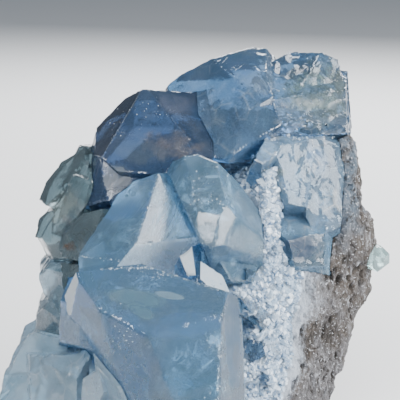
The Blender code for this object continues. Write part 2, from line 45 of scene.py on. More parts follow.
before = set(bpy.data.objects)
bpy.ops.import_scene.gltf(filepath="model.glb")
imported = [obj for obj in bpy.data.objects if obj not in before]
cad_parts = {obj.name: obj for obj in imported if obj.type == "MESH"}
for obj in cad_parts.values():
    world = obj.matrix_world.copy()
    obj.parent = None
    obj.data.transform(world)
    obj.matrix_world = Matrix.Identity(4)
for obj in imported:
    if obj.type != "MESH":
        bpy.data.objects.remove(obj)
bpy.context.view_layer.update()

MM = 0.001
SEED = 7
PHOTO_SIDE = 400            # the photograph's width and height in pixels
PIXEL = 0.26                # millimetres that one pixel shows
LENS = 114.2                # camera lens and sensor width
SENSOR = 36.0
CAMERA_AT = Vector((1.1, -314.46, 158.41)) * MM
CAMERA_DOWN = 15.0          # degrees below the horizon
CELESTITE_IOR = 1.62
MERGE = 1e-6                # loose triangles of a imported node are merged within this
CONTACT = 0.9               # millimetres within which a neighbour touches a crystal
CLOSE_UP = 0.12             # millimetres by which touching faces move towards each other
DUST_REACH = 7.0            # millimetres from the crust over which its dust on the rock thins out


# Points on the model, found by a pixel of the photograph

def nodes_tree(skip=None):
    """Search tree over the faces of all nodes but one."""
    verts, faces = [], []
    for name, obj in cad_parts.items():
        if name != skip:
            start = len(verts)
            verts.extend(vert.co.copy() for vert in obj.data.vertices)
            faces.extend([start + index for index in face.vertices] for face in obj.data.polygons)
    return BVHTree.FromPolygons(verts, faces)


NODES_TREE = nodes_tree()
DOWN = math.radians(CAMERA_DOWN)
VIEW_FORWARD = Vector((0, math.cos(DOWN), -math.sin(DOWN)))
VIEW_UP = Vector((0, math.sin(DOWN), math.cos(DOWN)))
VIEW_RIGHT = Vector((1, 0, 0))


def sight(u, v):
    """Direction in which the camera sees this pixel of the photograph."""
    scale = SENSOR / LENS / PHOTO_SIDE
    middle = PHOTO_SIDE / 2
    return (VIEW_FORWARD + VIEW_RIGHT * ((u - middle) * scale) + VIEW_UP * ((middle - v) * scale)).normalized()


def seen_at(u, v):
    """Point of the model behind a pixel of the photograph."""
    point, _normal, _index, _distance = NODES_TREE.ray_cast(CAMERA_AT, sight(u, v))
    if point is None:
        raise RuntimeError("no part of the model lies behind pixel %g, %g" % (u, v))
    return point


# Shader helpers

def new_group(name, inputs, outputs):
    """Shader node group with typed sockets; inputs are (name, kind, default). Gives its tree and its two ends."""
    tree = bpy.data.node_groups.new(name, "ShaderNodeTree")
    for label, kind, default in inputs:
        socket = tree.interface.new_socket(name=label, in_out="INPUT", socket_type="NodeSocket" + kind)
        socket.default_value = default
    for label, kind in outputs:
        tree.interface.new_socket(name=label, in_out="OUTPUT", socket_type="NodeSocket" + kind)
    n = Nodes(tree)
    return n, n.add("NodeGroupInput").outputs, n.add("NodeGroupOutput").inputs


class Nodes:
    """Short calls that add nodes to a tree and link them."""

    def __init__(self, tree):
        self.tree = tree

    def add(self, kind, given=None, **settings):
        """Node with its settings, and with its inputs fed by name or number."""
        node = self.tree.nodes.new(kind)
        for key, value in settings.items():
            setattr(node, key, value)
        for key, value in (given or {}).items():
            self.feed(node.inputs[key], value)
        return node

    def feed(self, socket, value):
        if isinstance(value, bpy.types.NodeSocket):
            self.tree.links.new(value, socket)
        elif value is not None:
            socket.default_value = value

    def math(self, operation, *values, clamp=False):
        return self.add("ShaderNodeMath", dict(enumerate(values)), operation=operation, use_clamp=clamp).outputs[0]

    def times(self, a, b):
        return self.math("MULTIPLY", a, b)

    def plus(self, a, b, clamp=False):
        return self.math("ADD", a, b, clamp=clamp)

    def minus(self, a, b):
        return self.math("SUBTRACT", a, b)

    def most(self, a, b, clamp=False):
        return self.math("MAXIMUM", a, b, clamp=clamp)

    def vector(self, operation, a, b=None):
        second = 3 if operation == "SCALE" else 1
        node = self.add("ShaderNodeVectorMath", {0: a, second: b}, operation=operation)
        return node.outputs["Value"] if operation in ("DOT_PRODUCT", "LENGTH") else node.outputs[0]

    def xyz(self, x, y, z=0.0):
        return self.add("ShaderNodeCombineXYZ", {0: x, 1: y, 2: z}).outputs[0]

    def noise(self, vector, scale, detail=3.0, roughness=0.55, distortion=0.0):
        return self.add("ShaderNodeTexNoise", {"Vector": vector, "Scale": scale, "Detail": detail,
                                               "Roughness": roughness, "Distortion": distortion}).outputs["Fac"]

    def cells(self, vector, scale, feature="F1"):
        node = self.add("ShaderNodeTexVoronoi", {"Vector": vector, "Scale": scale}, feature=feature)
        return node.outputs["Distance"]

    def ramp(self, value, low, high, to_low=0.0, to_high=1.0):
        limits = dict(enumerate((value, low, high, to_low, to_high)))
        return self.add("ShaderNodeMapRange", limits, interpolation_type="SMOOTHSTEP").outputs[0]

    def mix(self, factor, a, b, blend="MIX"):
        return self.add("ShaderNodeMix", {0: factor, 6: a, 7: b}, data_type="RGBA", blend_type=blend).outputs[2]

    def tint(self, colour, mask, share, other):
        """Colour that gives way to another by a share of the mask."""
        return self.mix(self.times(mask, share), colour, other)

    def attribute(self, name, output="Fac"):
        return self.add("ShaderNodeAttribute", attribute_name=name).outputs[output]

    def position(self):
        return self.add("ShaderNodeTexCoord").outputs["Object"]


def facet_group():
    """Colour, roughness and relief of a grown crystal face, with worn and frosted places, painted edge highlights, and
    a tone per facet that on listed facets is painted light or shade.
    """
    n, given, out = new_group(
        "Grown face",
        [("Body", "Color", (0.2, 0.35, 0.5, 1)), ("Pale", "Color", (0.6, 0.7, 0.78, 1)),
         ("Facet", "Float", 0.5), ("Wear", "Float", 0.0), ("Frost", "Float", 0.0), ("Along", "Vector", (0, 0, 1)),
         ("Cloud size", "Float", 90.0), ("Cloud", "Float", 0.5), ("Streak size", "Float", 900.0),
         ("Streak", "Float", 0.4), ("Smooth", "Float", 0.06), ("Rough", "Float", 0.4), ("Crackle", "Float", 0.0)],
        [("Colour", "Color"), ("Roughness", "Float"), ("Height", "Float")])
    at = n.position()
    cloud = n.noise(at, given["Cloud size"], 5.0, 0.62, 0.5)
    cloud = n.times(n.ramp(cloud, 0.45, 0.75), given["Cloud"])
    across = n.vector("DOT_PRODUCT", at, given["Along"])
    wobble = n.times(n.noise(at, 160.0, 2.0), 0.003)
    streaks = n.noise(n.xyz(n.plus(across, wobble), 0.0), given["Streak size"], 5.0, 0.7)
    place = n.ramp(n.noise(at, 80.0, 2.0, 0.5), 0.46, 0.66)
    streak = n.times(n.times(n.ramp(streaks, 0.5, 0.75), place), given["Streak"])
    grain = n.noise(at, 2600.0, 2.0, 0.6)
    ragged = n.times(n.noise(at, 420.0, 3.0, 0.7), 0.6)
    # Pale edges: real wear, and a painted white highlight along the given highlight lines
    worn = n.ramp(n.plus(given["Wear"], ragged), 0.75, 1.15)
    worn = n.times(worn, n.plus(0.3, n.times(n.ramp(grain, 0.56, 0.7), 0.7)))
    # Frost: real frosted facets, and a painted whitening on facets that are lit
    frost = n.times(given["Frost"], n.ramp(n.noise(at, 500.0, 3.0, 0.7), 0.25, 0.6, 0.6, 1.0))
    split = n.cells(at, 210.0, "DISTANCE_TO_EDGE")
    crackle = n.times(n.ramp(split, 0.06, 0.0), n.ramp(n.noise(at, 150.0, 3.0, 0.6), 0.45, 0.6))
    crackle = n.times(crackle, given["Crackle"])
    light = n.most(n.most(cloud, streak), n.most(worn, frost))
    pale = n.most(light, crackle, clamp=True)
    # Facet shade: a random tone per facet, and on listed facets a painted light or shade
    shade = n.plus(0.45, n.times(given["Facet"], 1.1), clamp=True)
    hue = n.noise(at, 45.0, 2.0, 0.5)
    body = n.mix(n.ramp(hue, 0.35, 0.65), given["Body"], n.mix(1.0, given["Body"], (0.82, 1.0, 1.04, 1), "MULTIPLY"))
    body = n.vector("SCALE", body, shade)
    n.feed(out["Colour"], n.mix(pale, body, given["Pale"]))
    matte = n.most(worn, frost)
    n.feed(out["Roughness"], n.plus(given["Smooth"], n.times(matte, given["Rough"])))
    relief = n.times(streaks, n.times(place, given["Streak"]))
    relief = n.plus(relief, n.times(grain, n.times(pale, 0.5)))
    relief = n.plus(relief, n.times(n.noise(at, 150.0, 3.0), 0.7))
    ripple = n.noise(at, 330.0, 2.0, 0.5, 0.8)
    relief = n.plus(relief, n.times(ripple, n.times(given["Crackle"], 1.6)))
    n.feed(out["Height"], relief)
    return n.tree


def zone_group():
    """Soft-edged patch around a place, which may be streaky."""
    n, given, out = new_group(
        "Zone mask",
        [("Centre", "Vector", (0, 0, 0)), ("Across", "Vector", (1, 0, 0)), ("Up", "Vector", (0, 0, 1)),
         ("Depth", "Vector", (0, 1, 0)), ("Ragged", "Float", 0.3), ("Streaky", "Float", 0.0)],
        [("Mask", "Float")])
    at = n.position()
    offset = n.vector("SUBTRACT", at, given["Centre"])
    x, y, z = (n.vector("DOT_PRODUCT", offset, given[axis]) for axis in ("Across", "Up", "Depth"))
    edge = n.times(n.minus(n.noise(at, 260.0, 6.0, 0.72), 0.5), given["Ragged"])
    distance = n.plus(n.vector("LENGTH", n.xyz(x, y, z)), n.times(edge, 6.0))
    mask = n.times(n.ramp(distance, 1.2, 0.55), n.ramp(n.noise(at, 420.0, 4.0, 0.65), 0.3, 0.6, 0.45, 1.0))
    lines = n.noise(n.xyz(n.times(x, 6.0), n.times(y, 0.8), z), 1.0, 4.0, 0.7, 0.4)
    lines = n.plus(1.0, n.times(n.minus(n.ramp(lines, 0.46, 0.6), 1.0), given["Streaky"]))
    n.feed(out["Mask"], n.times(mask, lines))
    return n.tree


def material_with(name, plain):
    """Material whose shader has these plain values, with its tree, shader and output."""
    material = bpy.data.materials.new(name)
    material.use_nodes = True
    n = Nodes(material.node_tree)
    shader = n.tree.nodes["Principled BSDF"]
    for socket, value in plain.items():
        shader.inputs[socket].default_value = value
    return material, n, shader, n.tree.nodes["Material Output"]


def bump_into(n, shader, height, strength, distance):
    bump = n.add("ShaderNodeBump", {"Strength": strength, "Distance": distance, "Height": height})
    n.feed(shader.inputs["Normal"], bump.outputs[0])


SHARED = {}


def shared(build):
    """Node group or material that several pieces use, made once."""
    if build not in SHARED:
        SHARED[build] = build()
    return SHARED[build]


# A patch on a crystal; most are its own colour, and those marked below paint light or shade. Middle, half width
# and half height in pixels, turn in degrees, colour, strength, how matte it is, ragged edge, streaks, and 1 for a dark
# sheet inside the crystal
Zone = namedtuple("Zone", "u v wide high turn colour strength matte ragged streaky inside", defaults=(0, 0, 0, 0))
WHITE = (0.88, 0.93, 0.96)
ZONE_DEPTH = 7.0            # millimetres along the line of sight
MARK_LIGHT = 1.3            # zones whose red, green and blue add up to more are sheets inside the crystal
MARK_DEPTH = 0.45           # millimetres that those sheets lie below the surface
SHEET = 0.05                # thickness of a sheet in millimetres


def inner(zone):
    """Whether the zone is a sheet inside the crystal, as pale ones are."""
    return zone.inside or sum(zone.colour) > MARK_LIGHT


def zone_mask(n, zone):
    turn = Matrix.Rotation(math.radians(zone.turn), 3, -VIEW_FORWARD)
    mask = n.add("ShaderNodeGroup", {
        "Centre": seen_at(zone.u, zone.v),
        "Across": (turn @ VIEW_RIGHT) / (zone.wide * PIXEL * MM),
        "Up": (turn @ VIEW_UP) / (zone.high * PIXEL * MM),
        "Depth": VIEW_FORWARD / (ZONE_DEPTH * MM),
        "Ragged": zone.ragged, "Streaky": zone.streaky}, node_tree=shared(zone_group))
    return n.times(mask.outputs[0], zone.strength)


def crystal_material(name, look, clear, zones=()):
    """Clear or frosted celestite. Both take up light inside in the same way."""
    material, n, shader, output = material_with(name + ("_clear" if clear else "_frosted"), {
        "Transmission Weight": look.clearness if clear else 0.5, "IOR": CELESTITE_IOR,
        "Specular IOR Level": look.gloss})
    face = n.add("ShaderNodeGroup", {
        "Body": (*look.body, 1), "Pale": (*look.pale, 1), "Cloud": look.cloud, "Cloud size": 1.0 / look.cloud_size,
        "Streak": look.streak, "Smooth": look.smooth, "Crackle": look.crackle, "Facet": n.attribute("facet"),
        "Wear": n.attribute("wear"), "Frost": n.attribute("frost"), "Along": n.attribute("along", "Vector")},
        node_tree=shared(facet_group)).outputs
    colour, roughness = face["Colour"], face["Roughness"]
    for zone in zones:
        mask = zone_mask(n, zone)
        if not inner(zone):
            colour = n.mix(mask, colour, (*zone.colour, 1))
        if zone.matte:
            roughness = n.plus(roughness, n.times(mask, zone.matte))
    n.feed(shader.inputs["Base Color"], colour)
    n.feed(shader.inputs["Roughness"], roughness)
    bump_into(n, shader, face["Height"], 0.4, 0.0004)
    absorb = n.add("ShaderNodeVolumeAbsorption", {"Color": (*look.glow, 1), "Density": look.density})
    n.feed(output.inputs["Volume"], absorb.outputs[0])
    return material


# Crystal meshes

FLAT = 0.6                  # degrees up to which neighbouring faces count as one facet
SHARP = 8                   # degrees from which an edge gets worn
EDGE_STEP = 0.25            # millimetres between the points that mark a worn edge
HIGHLIGHT_REACH = 2.2          # millimetres around a highlight line in which edges are painted white as a highlight
WEAR_WIDTH = 0.45           # millimetres over which wear fades into a face
CHIP_REACH = 0.7            # millimetres that worn corners reach into a face
CUT_ROUNDS = 7              # times that long edges are halved at most
VEIL_TRIES = 12             # places tried for each inner veil
VEIL_DEPTHS = (2.5, 9.0)    # millimetres that veils lie below a face
VEIL_CLEARANCE = 0.5        # millimetres that they keep from the surface
SMALLEST_VEIL = 2.0         # millimetres
BROKEN_FROM = 18.5          # millimetres to the right from which the top crystals are broken


def mesh_of(bm, name):
    """Mesh made from a bmesh, which is freed."""
    mesh = bpy.data.meshes.new(name)
    bm.to_mesh(mesh)
    bm.free()
    return mesh


def mesh_tree(mesh):
    """Search tree over a mesh's faces."""
    return BVHTree.FromPolygons([vert.co for vert in mesh.vertices], [face.vertices[:] for face in mesh.polygons])


def linked(name, data):
    """Object in the scene's own collection."""
    obj = bpy.data.objects.new(name, data)
    bpy.context.scene.collection.objects.link(obj)
    return obj


def write_attribute(mesh, name, kind, domain, values):
    attribute = mesh.attributes.new(name, kind, domain)
    key = "vector" if kind == "FLOAT_VECTOR" else "value"
    attribute.data.foreach_set(key, np.asarray(values, dtype=np.float32).ravel())


def merged_copy(node):
    bm = bmesh.new()
    bm.from_mesh(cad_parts[node].data)
    bmesh.ops.remove_doubles(bm, verts=bm.verts[:], dist=MERGE)
    return bm


def number_facets(bm):
    """Number each coplanar facet, and give the faces' numbers and the facets' normals."""
    numbers, normals = [-1] * len(bm.faces), []
    bm.faces.index_update()
    for start in bm.faces:
        if numbers[start.index] >= 0:
            continue
        number = len(normals)
        normals.append(start.normal.copy())
        numbers[start.index] = number
        reach = [start]
        while reach:
            face = reach.pop()
            for edge in face.edges:
                for other in edge.link_faces:
                    if numbers[other.index] < 0 and other.normal.dot(start.normal) > 0.9998:
                        numbers[other.index] = number
                        reach.append(other)
    return numbers, normals


def edge_samples(bm, highlight_lines, others):
    """Points along the free convex edges, and how pale each edge is: worn at random, and fully pale as a painted white
    highlight near lines given by pixels.
    """
    rng = random.Random(SEED)
    lines = [(seen_at(u0, v0), seen_at(u1, v1)) for u0, v0, u1, v1 in highlight_lines]
    samples, strengths = [], []
    for edge in bm.edges:
        if len(edge.link_faces) != 2 or edge.calc_face_angle(0) < math.radians(SHARP) or not edge.is_convex:
            continue
        a, b = edge.verts[0].co, edge.verts[1].co
        steps = max(1, int((b - a).length / (EDGE_STEP * MM)))
        strength = rng.uniform(0.25, 0.75)
        for step in range(steps + 1):
            at = a.lerp(b, step / steps)
            if others.find_nearest(at, CONTACT * MM)[0] is not None:
                continue
            # near is 1 where the edge gets a painted white highlight
            near = 0.0
            for p, q in lines:
                along = max(0.0, min(1.0, (at - p).dot(q - p) / (q - p).length_squared))
                if (at - p.lerp(q, along)).length < HIGHLIGHT_REACH * MM:
                    near = 1.0
            samples.append(at)
            strengths.append(max(strength, near))
    return samples, strengths


def flaked(co, normal, count, radius, depth, seed, keep=None):
    """Depth in metres of cleavage breaks at each corner: flat tilted floors with steep angular walls."""
    rng = np.random.default_rng(seed)
    depths = np.zeros(len(co))
    allowed = np.arange(len(co)) if keep is None else np.flatnonzero(keep)
    if not len(allowed):
        return depths
    cleavage = rng.normal(size=3)
    for index in rng.choice(allowed, count):
        middle, facing = co[index], normal[index]
        across = np.cross(facing, cleavage + rng.normal(size=3) * 0.25)
        across /= np.linalg.norm(across) + 1e-9
        size = radius * MM * rng.uniform(0.3, 1.0)
        offset = (co - middle) / size
        x, y = offset @ across, offset @ np.cross(facing, across) * rng.uniform(0.5, 1.6)
        outline = np.maximum(np.maximum(np.abs(x), np.abs(y)), (np.abs(x + y * 0.6) + np.abs(offset @ facing)) * 0.85)
        floor = 0.5 + 0.5 * x * rng.choice((-1.0, 1.0))
        bowl = depth * MM * rng.uniform(0.3, 1.0) * np.minimum(floor, (1 - outline) * 4)
        depths = np.where(normal @ facing > 0.2, np.maximum(depths, bowl), depths)
    return depths


def cut_near_edges(bm, look, tree):
    """Cut the faces finely near the worn edges, and coarsely inside the facets."""
    bmesh.ops.triangulate(bm, faces=bm.faces[:])
    for _round in range(CUT_ROUNDS):
        cut = []
        for edge in bm.edges:
            middle = (edge.verts[0].co + edge.verts[1].co) / 2
            wanted = min(look.coarsest * MM, look.finest * MM + tree.find(middle)[2] * 0.6)
            if edge.calc_length() > wanted * 1.4:
                cut.append(edge)
        if not cut:
            break
        bmesh.ops.subdivide_edges(bm, edges=cut, cuts=1)
        bmesh.ops.triangulate(bm, faces=[face for face in bm.faces if len(face.verts) > 3])
    bm.normal_update()


def break_depths(bm, look, broken):
    """Depth in metres of breaks and hollows at each corner, only where broken(point) says so if it is given."""
    co = np.array([vert.co for vert in bm.verts])
    if not look.flakes:
        return np.zeros(len(co))
    outward = np.array([vert.normal for vert in bm.verts])
    keep = None if broken is None else np.array([broken(vert.co) for vert in bm.verts])
    depths = flaked(co, outward, look.flakes, look.flake_radius, look.flake_depth, SEED, keep)
    lumps = np.array([max(0.0, noise.noise(vert.co * 170)) for vert in bm.verts]) * look.lump * MM
    return depths + (lumps if keep is None else lumps * keep)


def grown_mesh(node, look, highlight_lines=(), broken=None):
    """The node's facets cut finely near their edges, with worn edges and, where broken, cleavage breaks."""
    bm = merged_copy(node)
    others = nodes_tree(node)
    bmesh.ops.dissolve_limit(bm, angle_limit=math.radians(FLAT), verts=bm.verts[:], edges=bm.edges[:])
    numbers, normals = number_facets(bm)
    facet_layer = bm.faces.layers.int.new("facet_number")
    for face, number in zip(bm.faces, numbers):
        face[facet_layer] = number
    samples, strengths = edge_samples(bm, highlight_lines, others)
    tree = KDTree(len(samples))
    for index, sample in enumerate(samples):
        tree.insert(sample, index)
    tree.balance()
    cut_near_edges(bm, look, tree)
    # wear holds both the worn edges and the painted edge highlights
    wear = []
    for vert, depth in zip(bm.verts, break_depths(bm, look, broken)):
        _at, index, distance = tree.find(vert.co)
        wear.append(math.exp(-distance / (WEAR_WIDTH * MM)) * strengths[index])
        move = -vert.normal * depth
        if distance < CHIP_REACH * MM:
            facets = {face[facet_layer] for face in vert.link_faces}
            inward = -sum((normals[number] for number in facets), Vector()).normalized()
            ragged = noise.noise(vert.co * 900) * 0.5 + noise.noise(vert.co * 260 + Vector((5, 0, 0))) * 0.9
            chip = look.chip * MM * max(0.2, 0.5 + ragged) * (0.5 + strengths[index] * 0.7)
            move += inward * chip * (1 - distance / (CHIP_REACH * MM)) ** 2
        if others.find_nearest(vert.co, CONTACT * MM * 0.5)[0] is not None:
            move = vert.normal * CLOSE_UP * MM
        vert.co += move
    numbers = np.array([face[facet_layer] for face in bm.faces])
    mesh = mesh_of(bm, node)
    write_attribute(mesh, "wear", "FLOAT", "POINT", wear)
    return mesh, numbers, normals


def finish_piece(mesh, name, replaced=()):
    obj = linked(name, mesh)
    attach(obj, "root")
    if replaced:
        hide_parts(*replaced)
    return obj


def crystal_piece(node, look, facets=(), zones=(), highlight_lines=(), broken=None):
    """Replace a node by its detailed mesh. facets lists pixels of faces with their tone and their frost, which paint
    each listed facet's light or shade along with its own frosting. The given highlight lines paint white highlights
    along their edges.
    """
    zones = [Zone(*row) for row in zones]
    mesh, numbers, normals = grown_mesh(node, look, highlight_lines, broken)
    rng = np.random.default_rng(SEED + len(normals))
    tone = rng.uniform(0.38, 0.62, len(normals))
    frost = np.zeros(len(normals))
    along = []
    for normal in normals:
        side = normal.cross(Vector((0.25, 0.1, 1))).normalized()
        along.append(side if rng.random() < 0.7 else normal.cross(side))
    tree = mesh_tree(mesh)
    # Listed facets get a painted light or shade as their tone, and frost that stands for both frosting and light
    for u, v, shade, picked_frost_and_light in facets:
        face = tree.ray_cast(CAMERA_AT, sight(u, v))[2]
        if face is not None:
            tone[numbers[face]] = shade
            frost[numbers[face]] = picked_frost_and_light
    write_attribute(mesh, "facet", "FLOAT", "FACE", tone[numbers])
    write_attribute(mesh, "frost", "FLOAT", "FACE", frost[numbers])
    write_attribute(mesh, "along", "FLOAT_VECTOR", "FACE", np.array(along)[numbers])
    for clear in (True, False):
        mesh.materials.append(crystal_material(node, look, clear, zones))
    mesh.polygons.foreach_set("material_index", (frost[numbers] > 0.5).astype(np.int32))
    mesh.polygons.foreach_set("use_smooth", np.ones(len(numbers), bool))
    mesh.set_sharp_from_angle(angle=math.radians(10 if look.flakes else 5))
    mesh.update()
    piece = finish_piece(mesh, node + "_grown", [node])
    if zones:
        marks(piece, [zone for zone in zones if inner(zone)])
    return piece


def speck_material():
    return material_with("white_speck", {"Base Color": (*WHITE, 1), "Roughness": 0.35})[0]


def specks(piece, lines=(), patches=()):
    """Tiny crystals on a piece. Lines give two pixels and a spread, patches a middle and half sizes; then a count."""
    rng = random.Random(SEED)
    tree = mesh_tree(piece.data)
    spots = []
    for u0, v0, u1, v1, spread, count in lines:
        for _ in range(count):
            t = rng.random()
            spots.append((u0 + (u1 - u0) * t + rng.gauss(0, spread), v0 + (v1 - v0) * t + rng.gauss(0, spread)))
    for u, v, wide, high, count in patches:
        spots.extend((u + rng.gauss(0, wide), v + rng.gauss(0, high)) for _ in range(count))
    bm = bmesh.new()
    for u, v in spots:
        point, normal, _index, _distance = tree.ray_cast(CAMERA_AT, sight(u, v))
        if point is None:
            continue
        size = (0.06 + 0.16 * rng.random() ** 3) * MM
        tilt = Vector([rng.uniform(-0.5, 0.5) for _ in range(3)])
        turn = (normal + tilt).to_track_quat("Z", "Y").to_matrix().to_4x4()
        place = Matrix.Translation(point) @ turn @ Matrix.Rotation(rng.uniform(0, math.tau), 4, "Z")
        bmesh.ops.create_cone(bm, cap_ends=True, segments=4, radius1=size, radius2=size * 0.3, depth=size,
                              matrix=place)
    mesh = mesh_of(bm, piece.name + "_specks")
    mesh.materials.append(shared(speck_material))
    finish_piece(mesh, piece.name.replace("_grown", "_specks"))


def mark_material():
    """Sheets inside a crystal, seen only in feathery or streaky patches. Most show the crystal's own veils and tints;
    those marked in the zone lists are painted highlights and painted shade.
    """
    material, n, shader, _output = material_with("inner_mark", {"Roughness": 0.35})
    at = n.position()
    feather = n.noise(at, 260.0, 6.0, 0.72, 1.2)
    streaks = n.noise(n.attribute("flow", "Vector"), 1.0, 4.0, 0.7, 0.4)
    pattern = n.plus(feather, n.times(n.minus(streaks, feather), n.attribute("streaky")))
    bubbles = n.ramp(n.cells(at, 900.0), 0.3, 0.15)
    cover = n.most(n.ramp(pattern, 0.46, 0.62), n.times(bubbles, 0.5))
    cover = n.most(cover, n.attribute("solid"))
    n.feed(shader.inputs["Alpha"], n.times(cover, n.attribute("fade")))
    n.feed(shader.inputs["Base Color"], n.attribute("tint", "Color"))
    return material


def new_sheets():
    """Empty mesh for inner sheets, and the layers that their material reads."""
    bm = bmesh.new()
    layers = bm.verts.layers
    numbers = [layers.float.new(name) for name in ("fade", "streaky", "solid")]
    return bm, numbers, layers.float_vector.new("flow"), layers.float_color.new("tint")


def finish_sheets(bm, name):
    """Give the sheets a hair's thickness and make them a piece."""
    obj = linked("sheets", mesh_of(bm, name))
    thick = obj.modifiers.new("thick", "SOLIDIFY")
    thick.thickness = SHEET * MM
    thick.offset = 0
    finish_piece(applied(obj, shared(mark_material)), name)


def marks(piece, zones):
    """A sheet just below the piece's surface for each of its inner zones."""
    tree = mesh_tree(piece.data)
    bm, (fade, streaky, solid), flow, tint = new_sheets()
    for number, zone in enumerate(zones):
        turn = math.radians(zone.turn)
        middle = tree.ray_cast(CAMERA_AT, sight(zone.u, zone.v))[0]
        missed = []
        for vert in bmesh.ops.create_grid(bm, x_segments=16, y_segments=12, size=1.0)["verts"]:
            x, y = vert.co.x * zone.wide, vert.co.y * zone.high
            u = zone.u + x * math.cos(turn) - y * math.sin(turn)
            v = zone.v - x * math.sin(turn) - y * math.cos(turn)
            point, normal, _index, _distance = tree.ray_cast(CAMERA_AT, sight(u, v))
            if point is None or middle is None or abs((point - middle).dot(VIEW_FORWARD)) > ZONE_DEPTH * MM:
                missed.append(vert)
                continue
            vert[fade] = zone.strength * min(1.0, 2 * max(0.0, 1 - vert.co.x ** 2 - vert.co.y ** 2))
            vert[streaky] = zone.streaky
            vert[solid] = max(0.0, 1 - 1.6 * zone.ragged)
            vert[flow] = (vert.co.x * 5, vert.co.y * 0.8, number * 3.0)
            vert[tint] = (*zone.colour, 1)
            vert.co = point + VIEW_FORWARD * (MARK_DEPTH * MM / max(0.35, -normal.dot(VIEW_FORWARD)))
        bmesh.ops.delete(bm, geom=missed, context="VERTS")
    finish_sheets(bm, piece.name.replace("_grown", "_marks"))


def veils(node, look, count, radius, seed):
    """Thin feathered sheets inside the node, each bent a little and kept clear of its surface."""
    rng = random.Random(seed)
    source = merged_copy(node)
    tree = BVHTree.FromBMesh(source)
    bmesh.ops.triangulate(source, faces=source.faces[:])
    faces = source.faces[:]
    areas = [face.calc_area() for face in faces]
    bm, (fade, _streaky, _solid), _flow, tint = new_sheets()
    made = 0
    for face in rng.choices(faces, areas, k=count * VEIL_TRIES):
        middle = face.calc_center_median() - face.normal * rng.uniform(*VEIL_DEPTHS) * MM
        room = tree.find_nearest(middle)[3]
        size = min(radius * rng.uniform(0.5, 1.0), room / MM * 1.2)
        if made >= count or size < SMALLEST_VEIL:
            continue
        tilt = Vector([rng.uniform(-1, 1) for _ in range(3)]).normalized()
        turn = (face.normal + tilt * 0.9).to_track_quat("Z", "Y").to_matrix().to_4x4()
        stretch = rng.uniform(0.35, 0.8)
        phase = Vector((seed, made * 7.0, 0))
        for vert in bmesh.ops.create_grid(bm, x_segments=10, y_segments=8, size=1.0)["verts"]:
            flat = vert.co.copy()
            away = min(1.0, math.hypot(flat.x, flat.y))
            vert[fade] = 0.85 * (1.0 - away ** 2)
            vert[tint] = (*look.pale, 1)
            bend = noise.noise(flat * 0.9 + phase) * 0.25
            flat = Vector((flat.x, flat.y * stretch, bend)) * size * MM
            point = middle + (turn @ flat)
            nearest, normal, _index, _distance = tree.find_nearest(point)
            if (point - nearest).dot(normal) > -VEIL_CLEARANCE * MM:
                point = nearest - normal * VEIL_CLEARANCE * MM
                vert[fade] = 0.0
            vert.co = point
        made += 1
    source.free()
    finish_sheets(bm, node + "_veils")


# Crust and rock

VOXEL = 0.75                # millimetres of their even meshes
OPEN = 3.0                  # millimetres of free space that a corner needs to count as open


def applied(obj, material):
    """Plain mesh of an object with its modifiers applied, in one material. The object is removed."""
    bpy.context.view_layer.update()
    mesh = bpy.data.meshes.new_from_object(obj.evaluated_get(bpy.context.evaluated_depsgraph_get()))
    obj.modifiers.clear()
    bpy.data.objects.remove(obj)
    mesh.materials.clear()
    mesh.materials.append(material)
    return mesh


def remeshed(node, material):
    """Even dense copy of a node's mesh."""
    obj = linked(node + "_even", mesh_of(merged_copy(node), node + "_even"))
    remesh = obj.modifiers.new("even", "REMESH")
    remesh.mode = "VOXEL"
    remesh.voxel_size = VOXEL * MM
    return applied(obj, material)


def openness(mesh):
    """How free each corner is, from 0 against a neighbour to 1 in the open."""
    values = []
    for vert in mesh.vertices:
        start = vert.co + vert.normal * 0.15 * MM
        distance = NODES_TREE.ray_cast(start, vert.normal, OPEN * MM)[3]
        values.append(1.0 if distance is None else 0.0)
    return np.array(values)


def keep_off_floor(mesh):
    for vert in mesh.vertices:
        vert.co.z = max(vert.co.z, 0)


def rough_mesh(node, material, height, grow):
    """Even mesh of a node with each corner moved out by grow, and each free one by height(point), in millimetres."""
    mesh = remeshed(node, material)
    free = openness(mesh)
    heights = [height(vert.co / MM) for vert in mesh.vertices]
    moves = [vert.normal * (lift * openly + grow) * MM for vert, lift, openly in zip(mesh.vertices, heights, free)]
    for vert, move in zip(mesh.vertices, moves):
        vert.co += move
    keep_off_floor(mesh)
    write_attribute(mesh, "height", "FLOAT", "POINT", heights)
    write_attribute(mesh, "free", "FLOAT", "POINT", free)
    mesh.update()
    return mesh


def rock_height(p):
    """Fibrous relief that runs down to the left, with lumps and clustered holes, in millimetres."""
    run = Vector((0.42, 0.1, 0.9))
    q = p - run * p.dot(run) * 0.55
    warp = noise.noise_vector(p * 0.16) * 1.6
    fibre = abs(noise.noise((q + warp) * 0.55)) * 0.9 + noise.noise((q + warp) * 1.3 + Vector((9, 0, 0))) * 0.45
    lump = noise.noise(p * 0.1) * 0.9 + noise.noise(p * 0.28 + Vector((4, 0, 0))) * 0.6
    near = noise.voronoi(q * 0.42 + warp * 0.2)[0][0]
    cluster = max(0.0, noise.noise(p * 0.13 + Vector((0, 13, 0))) + 0.25)
    hole = max(0.0, 0.38 - near) * 6.0 * min(1.0, cluster * 2.2)
    return lump + fibre - hole - 0.45


def crust_height(p):
    lump = noise.noise(p * 0.17) * 1.5 + noise.noise(p * 0.5 + Vector((3, 0, 0))) * 0.9
    near = noise.voronoi(p * 0.4)[0]
    blocks = (near[1] - near[0]) * 1.5
    return lump + blocks - 1.0


# Settings that a user would change

def colour_property(name, description, default):
    return bpy.props.FloatVectorProperty(name=name, description=description, subtype="COLOR", size=3, min=0, max=1,
                                         default=default)


def factor_property(name, description, default):
    return bpy.props.FloatProperty(name=name, description=description, subtype="FACTOR", min=0, max=1,
                                   default=default)


